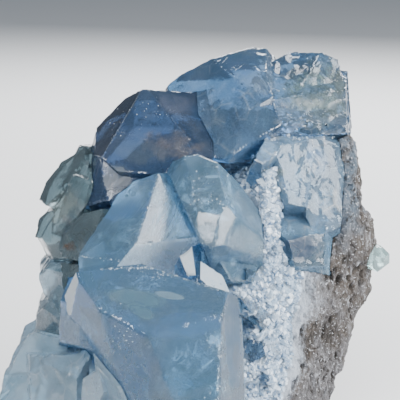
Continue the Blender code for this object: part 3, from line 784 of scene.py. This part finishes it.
def size_property(name, description, default):
    return bpy.props.FloatProperty(name=name, description=description + ", in millimetres", default=default, min=0)


def count_property(name, description, default):
    return bpy.props.IntProperty(name=name, description=description, default=default, min=0)


def length_property(name, description, default):
    return bpy.props.FloatProperty(name=name, description=description, default=default, unit="LENGTH")


def look_property(crystals):
    return bpy.props.PointerProperty(name=crystals, description="Look of the " + crystals.lower(), type=CrystalLook)


class CrystalLook(bpy.types.PropertyGroup):
    body: colour_property("Body colour", "Colour of the crystal's faces", (0.24, 0.42, 0.6))
    # pale also colours the painted edge highlights and the whitening of lit facets
    pale: colour_property("Pale colour", "Colour of clouds, streaks and worn edges", (0.78, 0.86, 0.92))
    glow: colour_property("Inner colour", "Colour that light takes on inside the crystal", (0.05, 0.35, 0.6))
    density: bpy.props.FloatProperty(name="Depth of colour", description="Light taken up in each metre of crystal",
                                     default=20.0, min=0.0)
    clearness: factor_property("Clearness", "How much light passes into the crystal", 0.88)
    gloss: factor_property("Gloss", "Strength of the mirror-like shine, 0.5 being that of plain celestite", 0.35)
    cloud: factor_property("Clouds", "Strength of the milky clouds", 0.25)
    cloud_size: length_property("Cloud size", "Size of the milky clouds", 0.01)
    streak: factor_property("Striations", "Strength of the growth lines", 0.4)
    crackle: factor_property("Crackle", "Strength of cracks and ripples of broken faces", 0.0)
    smooth: factor_property("Smoothness limit", "Roughness of the clearest faces", 0.05)
    chip: size_property("Edge wear", "Depth of worn edges", 0.35)
    finest: size_property("Finest cut", "Edge length at worn edges", 0.45)
    coarsest: size_property("Coarsest cut", "Edge length inside faces", 4.0)
    flakes: count_property("Breaks", "Number of cleavage breaks", 0)
    flake_radius: size_property("Break radius", "Largest radius of a break", 5.0)
    flake_depth: size_property("Break depth", "Largest depth of a break", 0.8)
    lump: size_property("Hollows", "Depth of soft hollows between breaks", 0.5)


class GeodeSettings(bpy.types.PropertyGroup):
    front: look_property("Front crystals")
    middle: look_property("Middle crystals")
    upper_left: look_property("Upper left crystals")
    top: look_property("Top crystals")
    right: look_property("Right crystals")
    left: look_property("Left crystals")
    left_small: look_property("Left small crystals")
    lower_left: look_property("Lower left crystals")
    edge: look_property("Edge crystal")
    splinter: look_property("Splinters")
    grain_count: count_property("Crust crystals", "Number of small crystals on the crust", 9000)
    grain_size: length_property("Crust crystal size", "Typical size of a small crystal", 0.001)
    floor_colour: colour_property("Floor colour", "Colour of the plain floor", (0.8, 0.81, 0.82))


# Each look's values that differ from the defaults
LOOK_VALUES = {
    "front": dict(body=(0.29, 0.54, 0.8), glow=(0.02, 0.38, 0.68), density=26.0, clearness=0.84, gloss=0.2),
    "middle": dict(body=(0.44, 0.69, 0.92), glow=(0.03, 0.42, 0.74), streak=0.7, density=9.0, clearness=0.84),
    "upper_left": dict(body=(0.08, 0.14, 0.26), glow=(0.06, 0.26, 0.5), cloud=0.08, density=34.0, clearness=0.72,
                       gloss=0.2),
    "top": dict(body=(0.14, 0.25, 0.4), glow=(0.08, 0.34, 0.58), density=34.0, clearness=0.76, cloud=0.2,
                streak=0.5, crackle=0.35, coarsest=0.8, flakes=420, flake_radius=4.0, flake_depth=0.9),
    "right": dict(body=(0.34, 0.55, 0.78), glow=(0.04, 0.42, 0.72), clearness=0.76, cloud=0.15, gloss=0.18,
                  smooth=0.14, crackle=0.8, coarsest=0.58, flakes=620, flake_radius=3.6, flake_depth=0.7,
                  lump=0.8),
    "left": dict(body=(0.2, 0.27, 0.3), glow=(0.18, 0.4, 0.46), density=34.0, clearness=0.72, streak=0.5,
                 coarsest=0.85, flakes=160, flake_radius=3.6, flake_depth=0.5),
    "left_small": dict(body=(0.34, 0.46, 0.55), glow=(0.15, 0.4, 0.5), density=26.0, clearness=0.68, cloud=0.35,
                       coarsest=0.8, flakes=110, flake_radius=3.0, flake_depth=0.5),
    "lower_left": dict(body=(0.5, 0.64, 0.76), glow=(0.1, 0.42, 0.6), density=14.0, clearness=0.64, cloud=0.45,
                       streak=0.5, crackle=0.5, coarsest=0.85, flakes=330, flake_radius=4.6, flake_depth=0.7),
    "edge": dict(body=(0.66, 0.76, 0.74), glow=(0.4, 0.6, 0.55), clearness=0.7, cloud=0.6, chip=0.2),
    "splinter": dict(body=(0.2, 0.32, 0.46), density=40.0, cloud=0.2, chip=0.12, finest=0.3),
}


# Zones of each piece, in the order of Zone's values, with trailing zeros left out
FRONT_ZONES = (
    (136, 299, 32, 10, -8, (0.27, 0.27, 0.19), 0.75, 0, 0.1, 0, 1),
    (140, 311, 17, 8, -30, (0.3, 0.3, 0.21), 0.7, 0, 0.1, 0, 1),
    (169, 296, 17, 4, -10, (1, 0.74, 0.56), 0.9, 0, 0.15),
    (185, 326, 42, 14, 5, (0.02, 0.1, 0.27), 0.6, 0, 0.1, 0, 1),
    # painted shade: dark sheet inside the shaded lower left face
    (122, 335, 26, 22, 25, (0.04, 0.14, 0.34), 0.6, 0, 0.2, 0, 1),
    (107, 350, 4, 45, 6, (0.42, 0.56, 0.68), 0.6, 0.1, 0.3, 0.3),
    (144, 372, 3, 36, 8, (0.5, 0.66, 0.78), 0.3, 0, 0.25, 0.5),
    # painted shade: dark sheet inside the lower left face
    (132, 372, 24, 32, 8, (0.04, 0.17, 0.4), 0.65, 0.45, 0.35, 0.1, 1),
    (216, 342, 9, 13, 15, WHITE, 0.9, 0.35, 0.7, 0.3),
    (237, 356, 5, 16, 3, (0.4, 0.36, 0.32), 0.4, 0.1, 0.3, 0.3),
    (203, 368, 16, 1.6, 40, WHITE, 0.7, 0.2, 0.5),
    (222, 388, 17, 10, 20, (0.7, 0.8, 0.8), 0.85, 0.3, 0.9, 0.6),
    # painted shade: dark sheet inside the narrow right face
    (233, 338, 11, 55, 2, (0.05, 0.17, 0.32), 0.85, 0.6, 0.1, 0, 1),
    # painted shade: dark sheet inside the lower left face
    (108, 350, 16, 50, -32, (0.05, 0.16, 0.34), 0.75, 0.25, 0.15, 0.2, 1),
    (172, 385, 20, 16, 0, (0.34, 0.5, 0.64), 0.5, 0, 0.4),
)
MIDDLE_ZONES = (
    # painted reflection: white sheet on the bright striated middle facet, streaked along its real striations
    (166, 222, 18, 24, -22, WHITE, 0.9, 0.3, 0.5, 0.9),
    (163, 198, 12, 16, -10, (0.6, 0.7, 0.78), 0.7, 0.2, 0.4, 0.4),
    (136, 190, 17, 7, 24, (0.62, 0.74, 0.82), 0.6, 0.2, 0.5, 0.5),
    # painted highlight: white corner of the lit lower lip facet
    (173, 243, 12, 6, -6, WHITE, 1, 0.2, 0.3),
    (105, 232, 14, 24, 20, (0.24, 0.44, 0.56), 0.5, 0, 0.3, 0.3),
    (205, 165, 14, 10, 0, (0.2, 0.38, 0.5), 0.6, 0, 0.3),
    (194, 200, 14, 6, -15, WHITE, 0.8, 0.3, 0.7, 0.5),
    (212, 177, 8, 1.6, 2, WHITE, 0.9, 0.2, 0.2),
    (228, 186, 3, 12, 5, WHITE, 0.8, 0.3, 0.5, 0.2),
    (206, 232, 12, 8, 0, (0.5, 0.66, 0.8), 0.6, 0.1, 0.5, 0.5),
    (245, 262, 14, 16, 0, (0.15, 0.3, 0.5), 0.6, 0, 0.4, 0.4),
    (233, 262, 4, 5, 0, WHITE, 0.7, 0.3, 0.7, 0.3),
)
UPPER_LEFT_ZONES = (
    (172, 147, 26, 16, -12, (0.36, 0.33, 0.32), 0.6, 0.1, 0.5, 0.2),
    (140, 152, 34, 12, -10, (0.2, 0.27, 0.34), 0.5, 0.1, 0.3),
    (116, 178, 16, 14, 0, (0.2, 0.26, 0.3), 0.8, 0.6, 0.1),
    (184, 148, 12, 6, -20, (0.52, 0.48, 0.46), 0.5, 0.2, 0.5),
    (200, 117, 9, 20, 24, (0.05, 0.13, 0.27), 0.8, 0, 0.1, 0.4),
    (175, 105, 20, 12, 0, (0.26, 0.3, 0.42), 0.5, 0, 0.3),
)
TOP_ZONES = (
    (262, 88, 14, 9, 30, WHITE, 0.75, 0.3, 0.6, 0.8),
    (225, 130, 12, 28, 20, (0.42, 0.56, 0.62), 0.6, 0, 0.4, 0.3),
    (258, 118, 15, 17, 0, (0.42, 0.54, 0.54), 0.6, 0, 0.5, 0.2),
    (240, 150, 28, 17, 0, (0.5, 0.68, 0.82), 0.8, 0, 0.3, 0.2),
    (240, 66, 20, 14, 0, (0.2, 0.3, 0.48), 0.5, 0, 0.4, 0.2),
    (292, 68, 12, 9, -20, (0.22, 0.34, 0.5), 0.6, 0, 0.3, 0.2),
    (318, 90, 40, 42, 0, (0.27, 0.34, 0.26), 0.55, 0, 0.3),
    (325, 72, 22, 10, 35, (0.78, 0.86, 0.72), 0.85, 0.3, 0.8, 0.7),
    (300, 84, 16, 6, 40, (0.78, 0.86, 0.75), 0.8, 0.3, 0.8, 0.6),
    (312, 103, 40, 9, 4, (0.87, 0.91, 0.82), 0.9, 0.35, 0.7, 0.5),
    (315, 122, 30, 7, 0, (0.3, 0.38, 0.42), 0.5, 0, 0.6, 0.2),
    (340, 85, 6, 20, 0, (0.42, 0.48, 0.4), 0.6, 0.1, 0.5, 0.4),
)
RIGHT_ZONES = (
    (268, 150, 9, 9, 0, (0.68, 0.74, 0.82), 0.7, 0.1, 0.2),
    (272, 172, 12, 5, 0, (0.42, 0.47, 0.36), 0.6, 0.1, 0.5, 0.2),
    (290, 178, 16, 14, 0, (0.4, 0.52, 0.6), 0.6, 0, 0.4),
    (316, 160, 12, 18, 15, (0.66, 0.72, 0.84), 0.7, 0.1, 0.3),
    (326, 200, 16, 12, 20, WHITE, 0.8, 0.35, 0.8, 0.5),
    (320, 228, 14, 14, 0, (0.55, 0.68, 0.82), 0.6, 0.2, 0.5, 0.3),
    (300, 248, 22, 14, 0, (0.02, 0.09, 0.22), 0.95, 0.3, 0.1),
    (286, 232, 12, 8, -30, WHITE, 0.8, 0.3, 0.8, 0.4),
)
LEFT_ZONES = (
    (70, 247, 6, 5, 0, (0.25, 0.13, 0.06), 0.8, 0.3, 0.7),
    (62, 205, 22, 14, 30, (0.42, 0.46, 0.42), 0.75, 0.1, 0.4, 0.2),
    (64, 172, 6, 14, -35, (0.55, 0.62, 0.64), 0.6, 0.2, 0.6, 0.5),
    (68, 225, 3, 20, -20, (0.08, 0.12, 0.16), 0.7, 0, 0.3),
)
LOWER_LEFT_ZONES = (
    (30, 340, 16, 10, 20, WHITE, 0.6, 0.3, 0.7, 0.6),
    (60, 345, 10, 7, 0, WHITE, 0.6, 0.3, 0.8, 0.5),
    (55, 365, 20, 16, -20, (0.3, 0.4, 0.48), 0.5, 0, 0.5, 0.2),
    (20, 385, 14, 8, 15, WHITE, 0.7, 0.3, 0.8, 0.6),
    (90, 375, 11, 22, 10, (0.06, 0.13, 0.22), 0.85, 0.5, 0.2, 0, 1),
)


def settings():
    return bpy.context.scene.celestite_geode


# Operators, one for each group of like pieces and one for the stage

class CELESTITE_OT_large_crystals(bpy.types.Operator):
    """Build the four groups of large blue crystals"""
    bl_idname = "celestite.large_crystals"
    bl_label = "Large crystals"

    def execute(self, context):
        looks = settings()
        front = crystal_piece("front_crystals", looks.front,
                              # painted light: (69, 290) and (187, 260) are lit facets painted pale and frosted;
                              # painted shade: (232, 340) is a facet toned dark
                              [(69, 290, 1.0, 1.0), (187, 260, 1.0, 1.0), (212, 280, 0.9, 0.8), (150, 310, 0.48, 0),
                               (180, 370, 0.5, 0), (120, 370, 0.4, 0), (232, 340, 0.1, 0), (85, 325, 0.5, 0.1)],
                              FRONT_ZONES, [(82, 270, 130, 264), (130, 264, 214, 288), (216, 290, 226, 300)])
        specks(front, [(92, 268, 160, 268, 1.2, 150), (160, 270, 214, 288, 1.5, 70)],
               [(124, 338, 9, 10, 50), (158, 275, 14, 3, 40), (222, 388, 7, 5, 40), (216, 342, 4, 5, 30)])
        middle = crystal_piece("middle_crystals", looks.middle,
                               # painted light: (165, 246) and (155, 215) whiten the middle crystal's bright facets
                               [(165, 246, 1.0, 0.6), (230, 205, 1.0, 0.6), (222, 230, 0.7, 0.3),
                                (197, 160, 0.6, 0.1), (155, 215, 0.7, 0.2), (240, 190, 0.5, 0),
                                (110, 225, 0.5, 0), (205, 232, 0.5, 0.15)],
                               MIDDLE_ZONES, [(158, 146, 118, 170), (80, 258, 120, 262), (158, 146, 165, 212)])
        specks(middle, [(80, 256, 125, 261, 1.0, 50), (110, 176, 140, 150, 1.5, 40)],
               [(206, 190, 8, 14, 50), (232, 170, 5, 8, 20)])
        tall = crystal_piece("upper_left_crystals", looks.upper_left,
                             # painted shade: (110, 120) tones the upper left crystal's left face fully dark
                             [(150, 120, 0.5, 0), (110, 120, 0.0, 0), (190, 115, 0.2, 0), (115, 180, 0.6, 0)],
                             UPPER_LEFT_ZONES, [(142, 92, 100, 158)])
        specks(tall, (), [(150, 112, 16, 10, 26), (118, 128, 4, 8, 20)])
        crystal_piece("top_crystals", looks.top,
                      [(310, 103, 0.8, 0.2), (220, 90, 0.4, 0), (250, 90, 0.45, 0)],
                      TOP_ZONES, [(250, 48, 268, 50), (275, 100, 345, 92)], lambda point: point.x > BROKEN_FROM * MM)
        for name, count, radius, seed in (("front", 34, 9.0, 3), ("middle", 26, 7.0, 5), ("upper_left", 14, 7.0, 8),
                                          ("top", 24, 7.0, 13)):
            veils(name + "_crystals", getattr(looks, name), count, radius, seed)
        return {"FINISHED"}


class CELESTITE_OT_small_crystals(bpy.types.Operator):
    """Build the paler groups at the right and the left"""
    bl_idname = "celestite.small_crystals"
    bl_label = "Smaller crystals"

    def execute(self, context):
        looks = settings()
        crystal_piece("right_crystals", looks.right,
                      [(265, 150, 0.7, 0.2), (300, 247, 0.0, 0)], RIGHT_ZONES, [(284, 118, 320, 112)])
        crystal_piece("left_crystals", looks.left, (), LEFT_ZONES)
        crystal_piece("left_small_crystals", looks.left_small,
                      [(48, 282, 0.9, 0.5), (48, 320, 0.3, 0)])
        crystal_piece("lower_left_crystals", looks.lower_left, (), LOWER_LEFT_ZONES)
        crystal_piece("edge_crystal", looks.edge)
        return {"FINISHED"}


def crust_material():
    """Sugary crust: white and grey-blue patches, blue in the gaps between its blocks."""
    material, n, shader, _output = material_with("sugary_crust", {"IOR": CELESTITE_IOR})
    at = n.position()
    patch = n.ramp(n.noise(at, 85.0, 4.0, 0.65, 0.6), 0.42, 0.62)
    colour = n.mix(patch, (0.5, 0.6, 0.69, 1), (0.24, 0.35, 0.47, 1))
    sugar = n.ramp(n.noise(at, 1300.0, 3.0, 0.8), 0.48, 0.66)
    colour = n.tint(colour, sugar, 0.7, (0.8, 0.88, 0.95, 1))
    colour = n.tint(colour, n.ramp(n.attribute("height"), -0.1, -0.75), 0.6, (0.14, 0.2, 0.28, 1))
    stain = n.ramp(n.noise(at, 60.0, 4.0, 0.6), 0.58, 0.75)
    n.feed(shader.inputs["Base Color"], n.tint(colour, stain, 0.5, (0.26, 0.25, 0.23, 1)))
    n.feed(shader.inputs["Roughness"], n.ramp(n.noise(at, 900.0, 2.0), 0.3, 0.7, 0.12, 0.5))
    bump_into(n, shader, n.noise(at, 1900.0, 4.0, 0.75), 0.8, 0.0006)
    return material


def grain_material():
    """Small crust crystals: some clear and dark, some grey-blue, some white."""
    material, n, shader, _output = material_with(
        "crust_crystal", {"Roughness": 0.25, "IOR": CELESTITE_IOR, "Coat Weight": 0.3})
    tone = n.attribute("tone")
    at = n.position()
    colour = n.mix(n.ramp(tone, 0.15, 0.5), (0.13, 0.21, 0.32, 1), (0.4, 0.52, 0.65, 1))
    colour = n.mix(n.ramp(tone, 0.6, 0.9), colour, (0.78, 0.87, 0.95, 1))
    patch = n.ramp(n.noise(at, 110.0, 4.0, 0.65, 0.6), 0.43, 0.6)
    colour = n.tint(colour, patch, 0.75, (0.24, 0.34, 0.46, 1))
    colour = n.tint(colour, n.ramp(n.noise(at, 1500.0, 2.0), 0.5, 0.7), 0.6, (0.84, 0.9, 0.96, 1))
    n.feed(shader.inputs["Base Color"], colour)
    bump_into(n, shader, n.noise(at, 1200.0, 3.0), 0.4, 0.0003)
    return material


def matrix_material():
    """Grey-brown rock with pale fibres, a bluish skin higher up, near-black holes and dust of the crust beside it."""
    material, n, shader, _output = material_with("fibrous_rock", {})
    at = n.position()
    turn = n.add("ShaderNodeMapping", {"Vector": at, "Rotation": (0.0, math.radians(27), 0.0),
                                       "Scale": (1.0, 1.0, 0.62)})
    fibre = n.noise(turn.outputs[0], 560.0, 5.0, 0.75, 0.9)
    rise = n.add("ShaderNodeSeparateXYZ", {0: at}).outputs[2]
    bluish = n.plus(rise, n.times(n.noise(at, 90.0, 4.0, 0.65), 0.03))
    skin = n.mix(n.ramp(bluish, 0.07, 0.088), (0.12, 0.116, 0.12, 1), (0.085, 0.12, 0.16, 1))
    broad = n.noise(at, 70.0, 4.0, 0.6, 0.5)
    colour = n.mix(n.ramp(broad, 0.42, 0.6), skin, (0.075, 0.062, 0.052, 1))
    colour = n.tint(colour, n.ramp(fibre, 0.53, 0.68), 0.75, (0.3, 0.31, 0.34, 1))
    colour = n.mix(n.ramp(fibre, 0.49, 0.37), colour, (0.022, 0.018, 0.016, 1))
    colour = n.mix(n.ramp(n.attribute("height"), -0.3, -1.3), colour, (0.022, 0.018, 0.015, 1))
    speck = n.ramp(n.noise(at, 1400.0, 2.0, 0.6), 0.6, 0.7)
    colour = n.tint(colour, speck, 0.7, (0.6, 0.62, 0.66, 1))
    ragged = n.plus(n.noise(at, 120.0, 5.0, 0.7), n.times(n.noise(at, 1100.0, 3.0, 0.7), 0.5))
    dust = n.ramp(n.plus(n.attribute("beside"), n.minus(ragged, 0.75)), 0.3, 0.75)
    n.feed(shader.inputs["Base Color"], n.tint(colour, dust, 0.75, (0.46, 0.52, 0.6, 1)))
    n.feed(shader.inputs["Roughness"], n.ramp(fibre, 0.4, 0.7, 0.9, 0.6))
    bump_into(n, shader, n.plus(fibre, n.times(n.noise(at, 1500.0, 3.0, 0.7), 0.4)), 0.9, 0.0009)
    return material


class CELESTITE_OT_crust(bpy.types.Operator):
    """Build the sugary crust with its small crystals and splinters"""
    bl_idname = "celestite.crust"
    bl_label = "Crust"

    def execute(self, context):
        mesh = rough_mesh("celestite_crust", crust_material(), crust_height, 0.45)
        finish_piece(mesh, "crust_base", ["celestite_crust"])
        grains(mesh, settings().grain_count, settings().grain_size)
        splinters(settings().splinter)
        return {"FINISHED"}


def small_crystal(name, sides, taper, length):
    """A stubby tapered crystal of unit width with its middle at the origin, so that half of it sinks in."""
    bm = bmesh.new()
    bmesh.ops.create_cone(bm, cap_ends=True, segments=sides, radius1=0.5, radius2=0.5 * taper, depth=length)
    bmesh.ops.rotate(bm, verts=bm.verts[:], matrix=Matrix.Rotation(0.4, 3, "Z"))
    return bpy.data.objects.new(name, mesh_of(bm, name))


def scatter_tree(size):
    """Geometry Nodes tree that stands crystals of several kinds on a mesh's free faces."""
    tree = bpy.data.node_groups.new("Scatter crystals", "GeometryNodeTree")
    sockets = {}
    for label, kind, default in (("Geometry", "Geometry", None), ("Density", "Float", 1.0), ("Size", "Float", size),
                                 ("Kinds", "Collection", None), ("Finish", "Material", None), ("Seed", "Int", SEED)):
        socket = tree.interface.new_socket(name=label, in_out="INPUT", socket_type="NodeSocket" + kind)
        if default is not None:
            socket.default_value = default
        sockets[label] = socket.identifier
    tree.interface.new_socket(name="Geometry", in_out="OUTPUT", socket_type="NodeSocketGeometry")
    n = Nodes(tree)
    given = n.add("NodeGroupInput").outputs
    free = n.add("GeometryNodeInputNamedAttribute", {"Name": "free"}, data_type="FLOAT")
    scatter = n.add("GeometryNodeDistributePointsOnFaces", {
        "Mesh": given["Geometry"], "Density": n.times(given["Density"], free.outputs[0]), "Seed": given["Seed"]})
    tilt = n.add("FunctionNodeRandomValue", {"Min": (-0.6, -0.6, -math.pi), "Max": (0.6, 0.6, math.pi)},
                 data_type="FLOAT_VECTOR")
    to_rotation = n.add("FunctionNodeEulerToRotation", {0: tilt.outputs["Value"]})
    turn = n.add("FunctionNodeRotateRotation", {"Rotation": scatter.outputs["Rotation"],
                                                "Rotate By": to_rotation.outputs[0]}, rotation_space="LOCAL")
    big = n.add("FunctionNodeRandomValue", {2: 0.5, 3: 1.0, "Seed": 3}, data_type="FLOAT")
    grown = n.times(n.times(n.math("POWER", big.outputs[1], 3.5), 2.6), given["Size"])
    pick = n.add("GeometryNodeCollectionInfo", {"Separate Children": True, "Reset Children": True,
                                                "Collection": given["Kinds"]})
    place = n.add("GeometryNodeInstanceOnPoints", {
        "Points": scatter.outputs["Points"], "Instance": pick.outputs[0], "Pick Instance": True,
        "Rotation": turn.outputs[0], "Scale": grown})
    shade = n.add("FunctionNodeRandomValue", {"Seed": 9}, data_type="FLOAT")
    store = n.add("GeometryNodeStoreNamedAttribute", {
        "Geometry": place.outputs[0], "Name": "tone", "Value": shade.outputs[1]}, data_type="FLOAT", domain="INSTANCE")
    real = n.add("GeometryNodeRealizeInstances", {0: store.outputs[0]})
    paint = n.add("GeometryNodeSetMaterial", {"Geometry": real.outputs[0], "Material": given["Finish"]})
    n.add("NodeGroupOutput", {0: paint.outputs[0]})
    return tree, sockets


def grains(base, count, size):
    """Scatter small crystals over the crust, then keep the result as a plain mesh."""
    carrier = linked("crust_crystals", base.copy())
    kinds = bpy.data.collections.new("crust_crystal_kinds")
    bpy.context.scene.collection.children.link(kinds)
    shapes = [small_crystal("kind_a", 4, 0.6, 0.8), small_crystal("kind_b", 6, 0.5, 0.7),
              small_crystal("kind_c", 4, 0.85, 0.5), small_crystal("kind_d", 5, 0.3, 1.0)]
    for shape in shapes:
        kinds.objects.link(shape)
    finish = grain_material()
    tree, sockets = scatter_tree(size)
    modifier = carrier.modifiers.new("scatter", "NODES")
    modifier.node_group = tree
    free = np.empty(len(base.vertices), np.float32)
    base.attributes["free"].data.foreach_get("value", free)
    area = sum(face.area for face in base.polygons) * float(free.mean())
    for label, value in (("Density", count / area), ("Size", size), ("Kinds", kinds), ("Finish", finish),
                         ("Seed", SEED)):
        modifier[sockets[label]] = value
    mesh = applied(carrier, finish)
    for shape in shapes:
        bpy.data.objects.remove(shape)
    bpy.data.collections.remove(kinds)
    keep_off_floor(mesh)
    finish_piece(mesh, "crust_crystals")


SPLINTER_DEPTH = 5.0        # millimetres from a splinter's face to its back
# Dark splinters on the crust. Each is a list of corners: pixel, and millimetres towards the viewer
SPLINTERS = (
    ((240, 298, 0.8), (252, 294, 1.5), (258, 304, 2.2), (253, 314, 1.8), (243, 308, 2.0)),
    ((258, 306, 1.5), (273, 306, 1.8), (272, 318, 2.4), (264, 331, 1.2), (258, 318, 2.6)),
    ((240, 314, 1.0), (254, 318, 2.6), (263, 330, 1.4), (252, 336, 1.6), (244, 328, 1.8)),
    ((247, 338, 1.2), (262, 342, 1.6), (266, 356, 1.2), (252, 362, 1.8), (246, 350, 1.6)),
    ((262, 372, 1.0), (270, 376, 1.8), (268, 388, 1.4), (260, 384, 1.4)),
    ((246, 268, 0.8), (256, 272, 1.5), (254, 282, 1.6), (246, 280, 1.4)),
)


def splinters(look):
    """Convex splinters, from their corners towards the viewer to a point within the crust."""
    bm = bmesh.new()
    for corners in SPLINTERS:
        front = [seen_at(u, v) - sight(u, v) * out * MM for u, v, out in corners]
        middle = sum(front, Vector()) / len(front)
        back = [point.lerp(middle, 0.35) + VIEW_FORWARD * SPLINTER_DEPTH * MM for point in front]
        verts = [bm.verts.new(point) for point in front + back]
        hull = bmesh.ops.convex_hull(bm, input=verts)
        within = {item for item in hull["geom_interior"] + hull["geom_unused"] if isinstance(item, bmesh.types.BMVert)}
        bmesh.ops.delete(bm, geom=list(within), context="VERTS")
    bmesh.ops.recalc_face_normals(bm, faces=bm.faces[:])
    mesh = mesh_of(bm, "crust_splinters")
    rng = np.random.default_rng(SEED)
    count = len(mesh.polygons)
    write_attribute(mesh, "facet", "FLOAT", "FACE", rng.uniform(0.2, 0.9, count))
    write_attribute(mesh, "wear", "FLOAT", "POINT", np.full(len(mesh.vertices), 0.5))
    write_attribute(mesh, "frost", "FLOAT", "FACE", np.zeros(count))
    mesh.materials.append(crystal_material("crust_splinters", look, True))
    finish_piece(mesh, "crust_splinters")


class CELESTITE_OT_matrix(bpy.types.Operator):
    """Build the fibrous, pitted rock"""
    bl_idname = "celestite.matrix"
    bl_label = "Matrix rock"

    def execute(self, context):
        mesh = rough_mesh("matrix_rock", matrix_material(), rock_height, 0.4)
        tree = mesh_tree(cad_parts["celestite_crust"].data)
        beside = [math.exp(-tree.find_nearest(vert.co)[3] / (DUST_REACH * MM)) for vert in mesh.vertices]
        write_attribute(mesh, "beside", "FLOAT", "POINT", beside)
        finish_piece(mesh, "rock", ["matrix_rock"])
        return {"FINISHED"}


# Name, place in metres, width, height and power of each light
LIGHTS = (
    ("window", (0.58, -0.2, 0.33), 0.55, 0.5, 10.0),
    ("front", (-0.1, -0.5, 0.6), 0.4, 0.3, 6.0),
    ("back", (0.15, 0.55, 0.45), 0.7, 0.4, 9.0),
)
LIT_POINT = Vector((0, 0, 0.055))


class CELESTITE_OT_stage(bpy.types.Operator):
    """Lay the pale floor and set the lights and the camera"""
    bl_idname = "celestite.stage"
    bl_label = "Stage"

    def execute(self, context):
        scene = context.scene
        bm = bmesh.new()
        bmesh.ops.create_grid(bm, x_segments=1, y_segments=1, size=3.0)
        floor = linked("floor", mesh_of(bm, "floor"))
        paint = {"Base Color": (*settings().floor_colour, 1), "Roughness": 0.9}
        floor.data.materials.append(material_with("pale_floor", paint)[0])

        scene.world = bpy.data.worlds.new("soft_room")
        scene.world.use_nodes = True
        room = scene.world.node_tree.nodes["Background"].inputs
        room["Color"].default_value = (0.72, 0.82, 0.95, 1)
        room["Strength"].default_value = 0.28

        for name, at, width, height, power in LIGHTS:
            light = bpy.data.lights.new(name, "AREA")
            light.shape = "RECTANGLE"
            light.size = width
            light.size_y = height
            light.energy = power
            lamp = linked(name, light)
            lamp.location = at
            lamp.rotation_mode = "QUATERNION"
            lamp.rotation_quaternion = (LIT_POINT - Vector(at)).to_track_quat("-Z", "Y")

        scene.camera = linked("camera", bpy.data.cameras.new("camera"))
        scene.camera.data.lens = LENS
        scene.camera.data.sensor_width = SENSOR
        scene.camera.location = CAMERA_AT
        scene.camera.rotation_euler = (math.radians(90 - CAMERA_DOWN), 0, 0)
        return {"FINISHED"}


class CELESTITE_PT_panel(bpy.types.Panel):
    """Lists the pieces of the geode"""
    bl_idname = "CELESTITE_PT_panel"
    bl_label = "Celestite geode"
    bl_space_type = "VIEW_3D"
    bl_region_type = "UI"
    bl_category = "Celestite"

    def draw(self, context):
        for operator in OPERATORS:
            self.layout.operator(operator.bl_idname)
        for name in ("grain_count", "grain_size", "floor_colour"):
            self.layout.prop(settings(), name)


OPERATORS = (CELESTITE_OT_large_crystals, CELESTITE_OT_small_crystals, CELESTITE_OT_crust, CELESTITE_OT_matrix,
             CELESTITE_OT_stage)
CLASSES = (CrystalLook, GeodeSettings, *OPERATORS, CELESTITE_PT_panel)


def register():
    for cls in CLASSES:
        bpy.utils.register_class(cls)
    bpy.types.Scene.celestite_geode = bpy.props.PointerProperty(type=GeodeSettings)


def unregister():
    del bpy.types.Scene.celestite_geode
    for cls in reversed(CLASSES):
        bpy.utils.unregister_class(cls)


def main():
    noise.seed_set(SEED)    # or else noise_vector, in the rock's relief, changes from run to run
    register()
    for group, values in LOOK_VALUES.items():
        look = getattr(settings(), group)
        for key, value in values.items():
            setattr(look, key, value)
    bpy.ops.celestite.large_crystals()
    bpy.ops.celestite.small_crystals()
    bpy.ops.celestite.crust()
    bpy.ops.celestite.matrix()
    bpy.ops.celestite.stage()


if __name__ == "__main__":
    main()
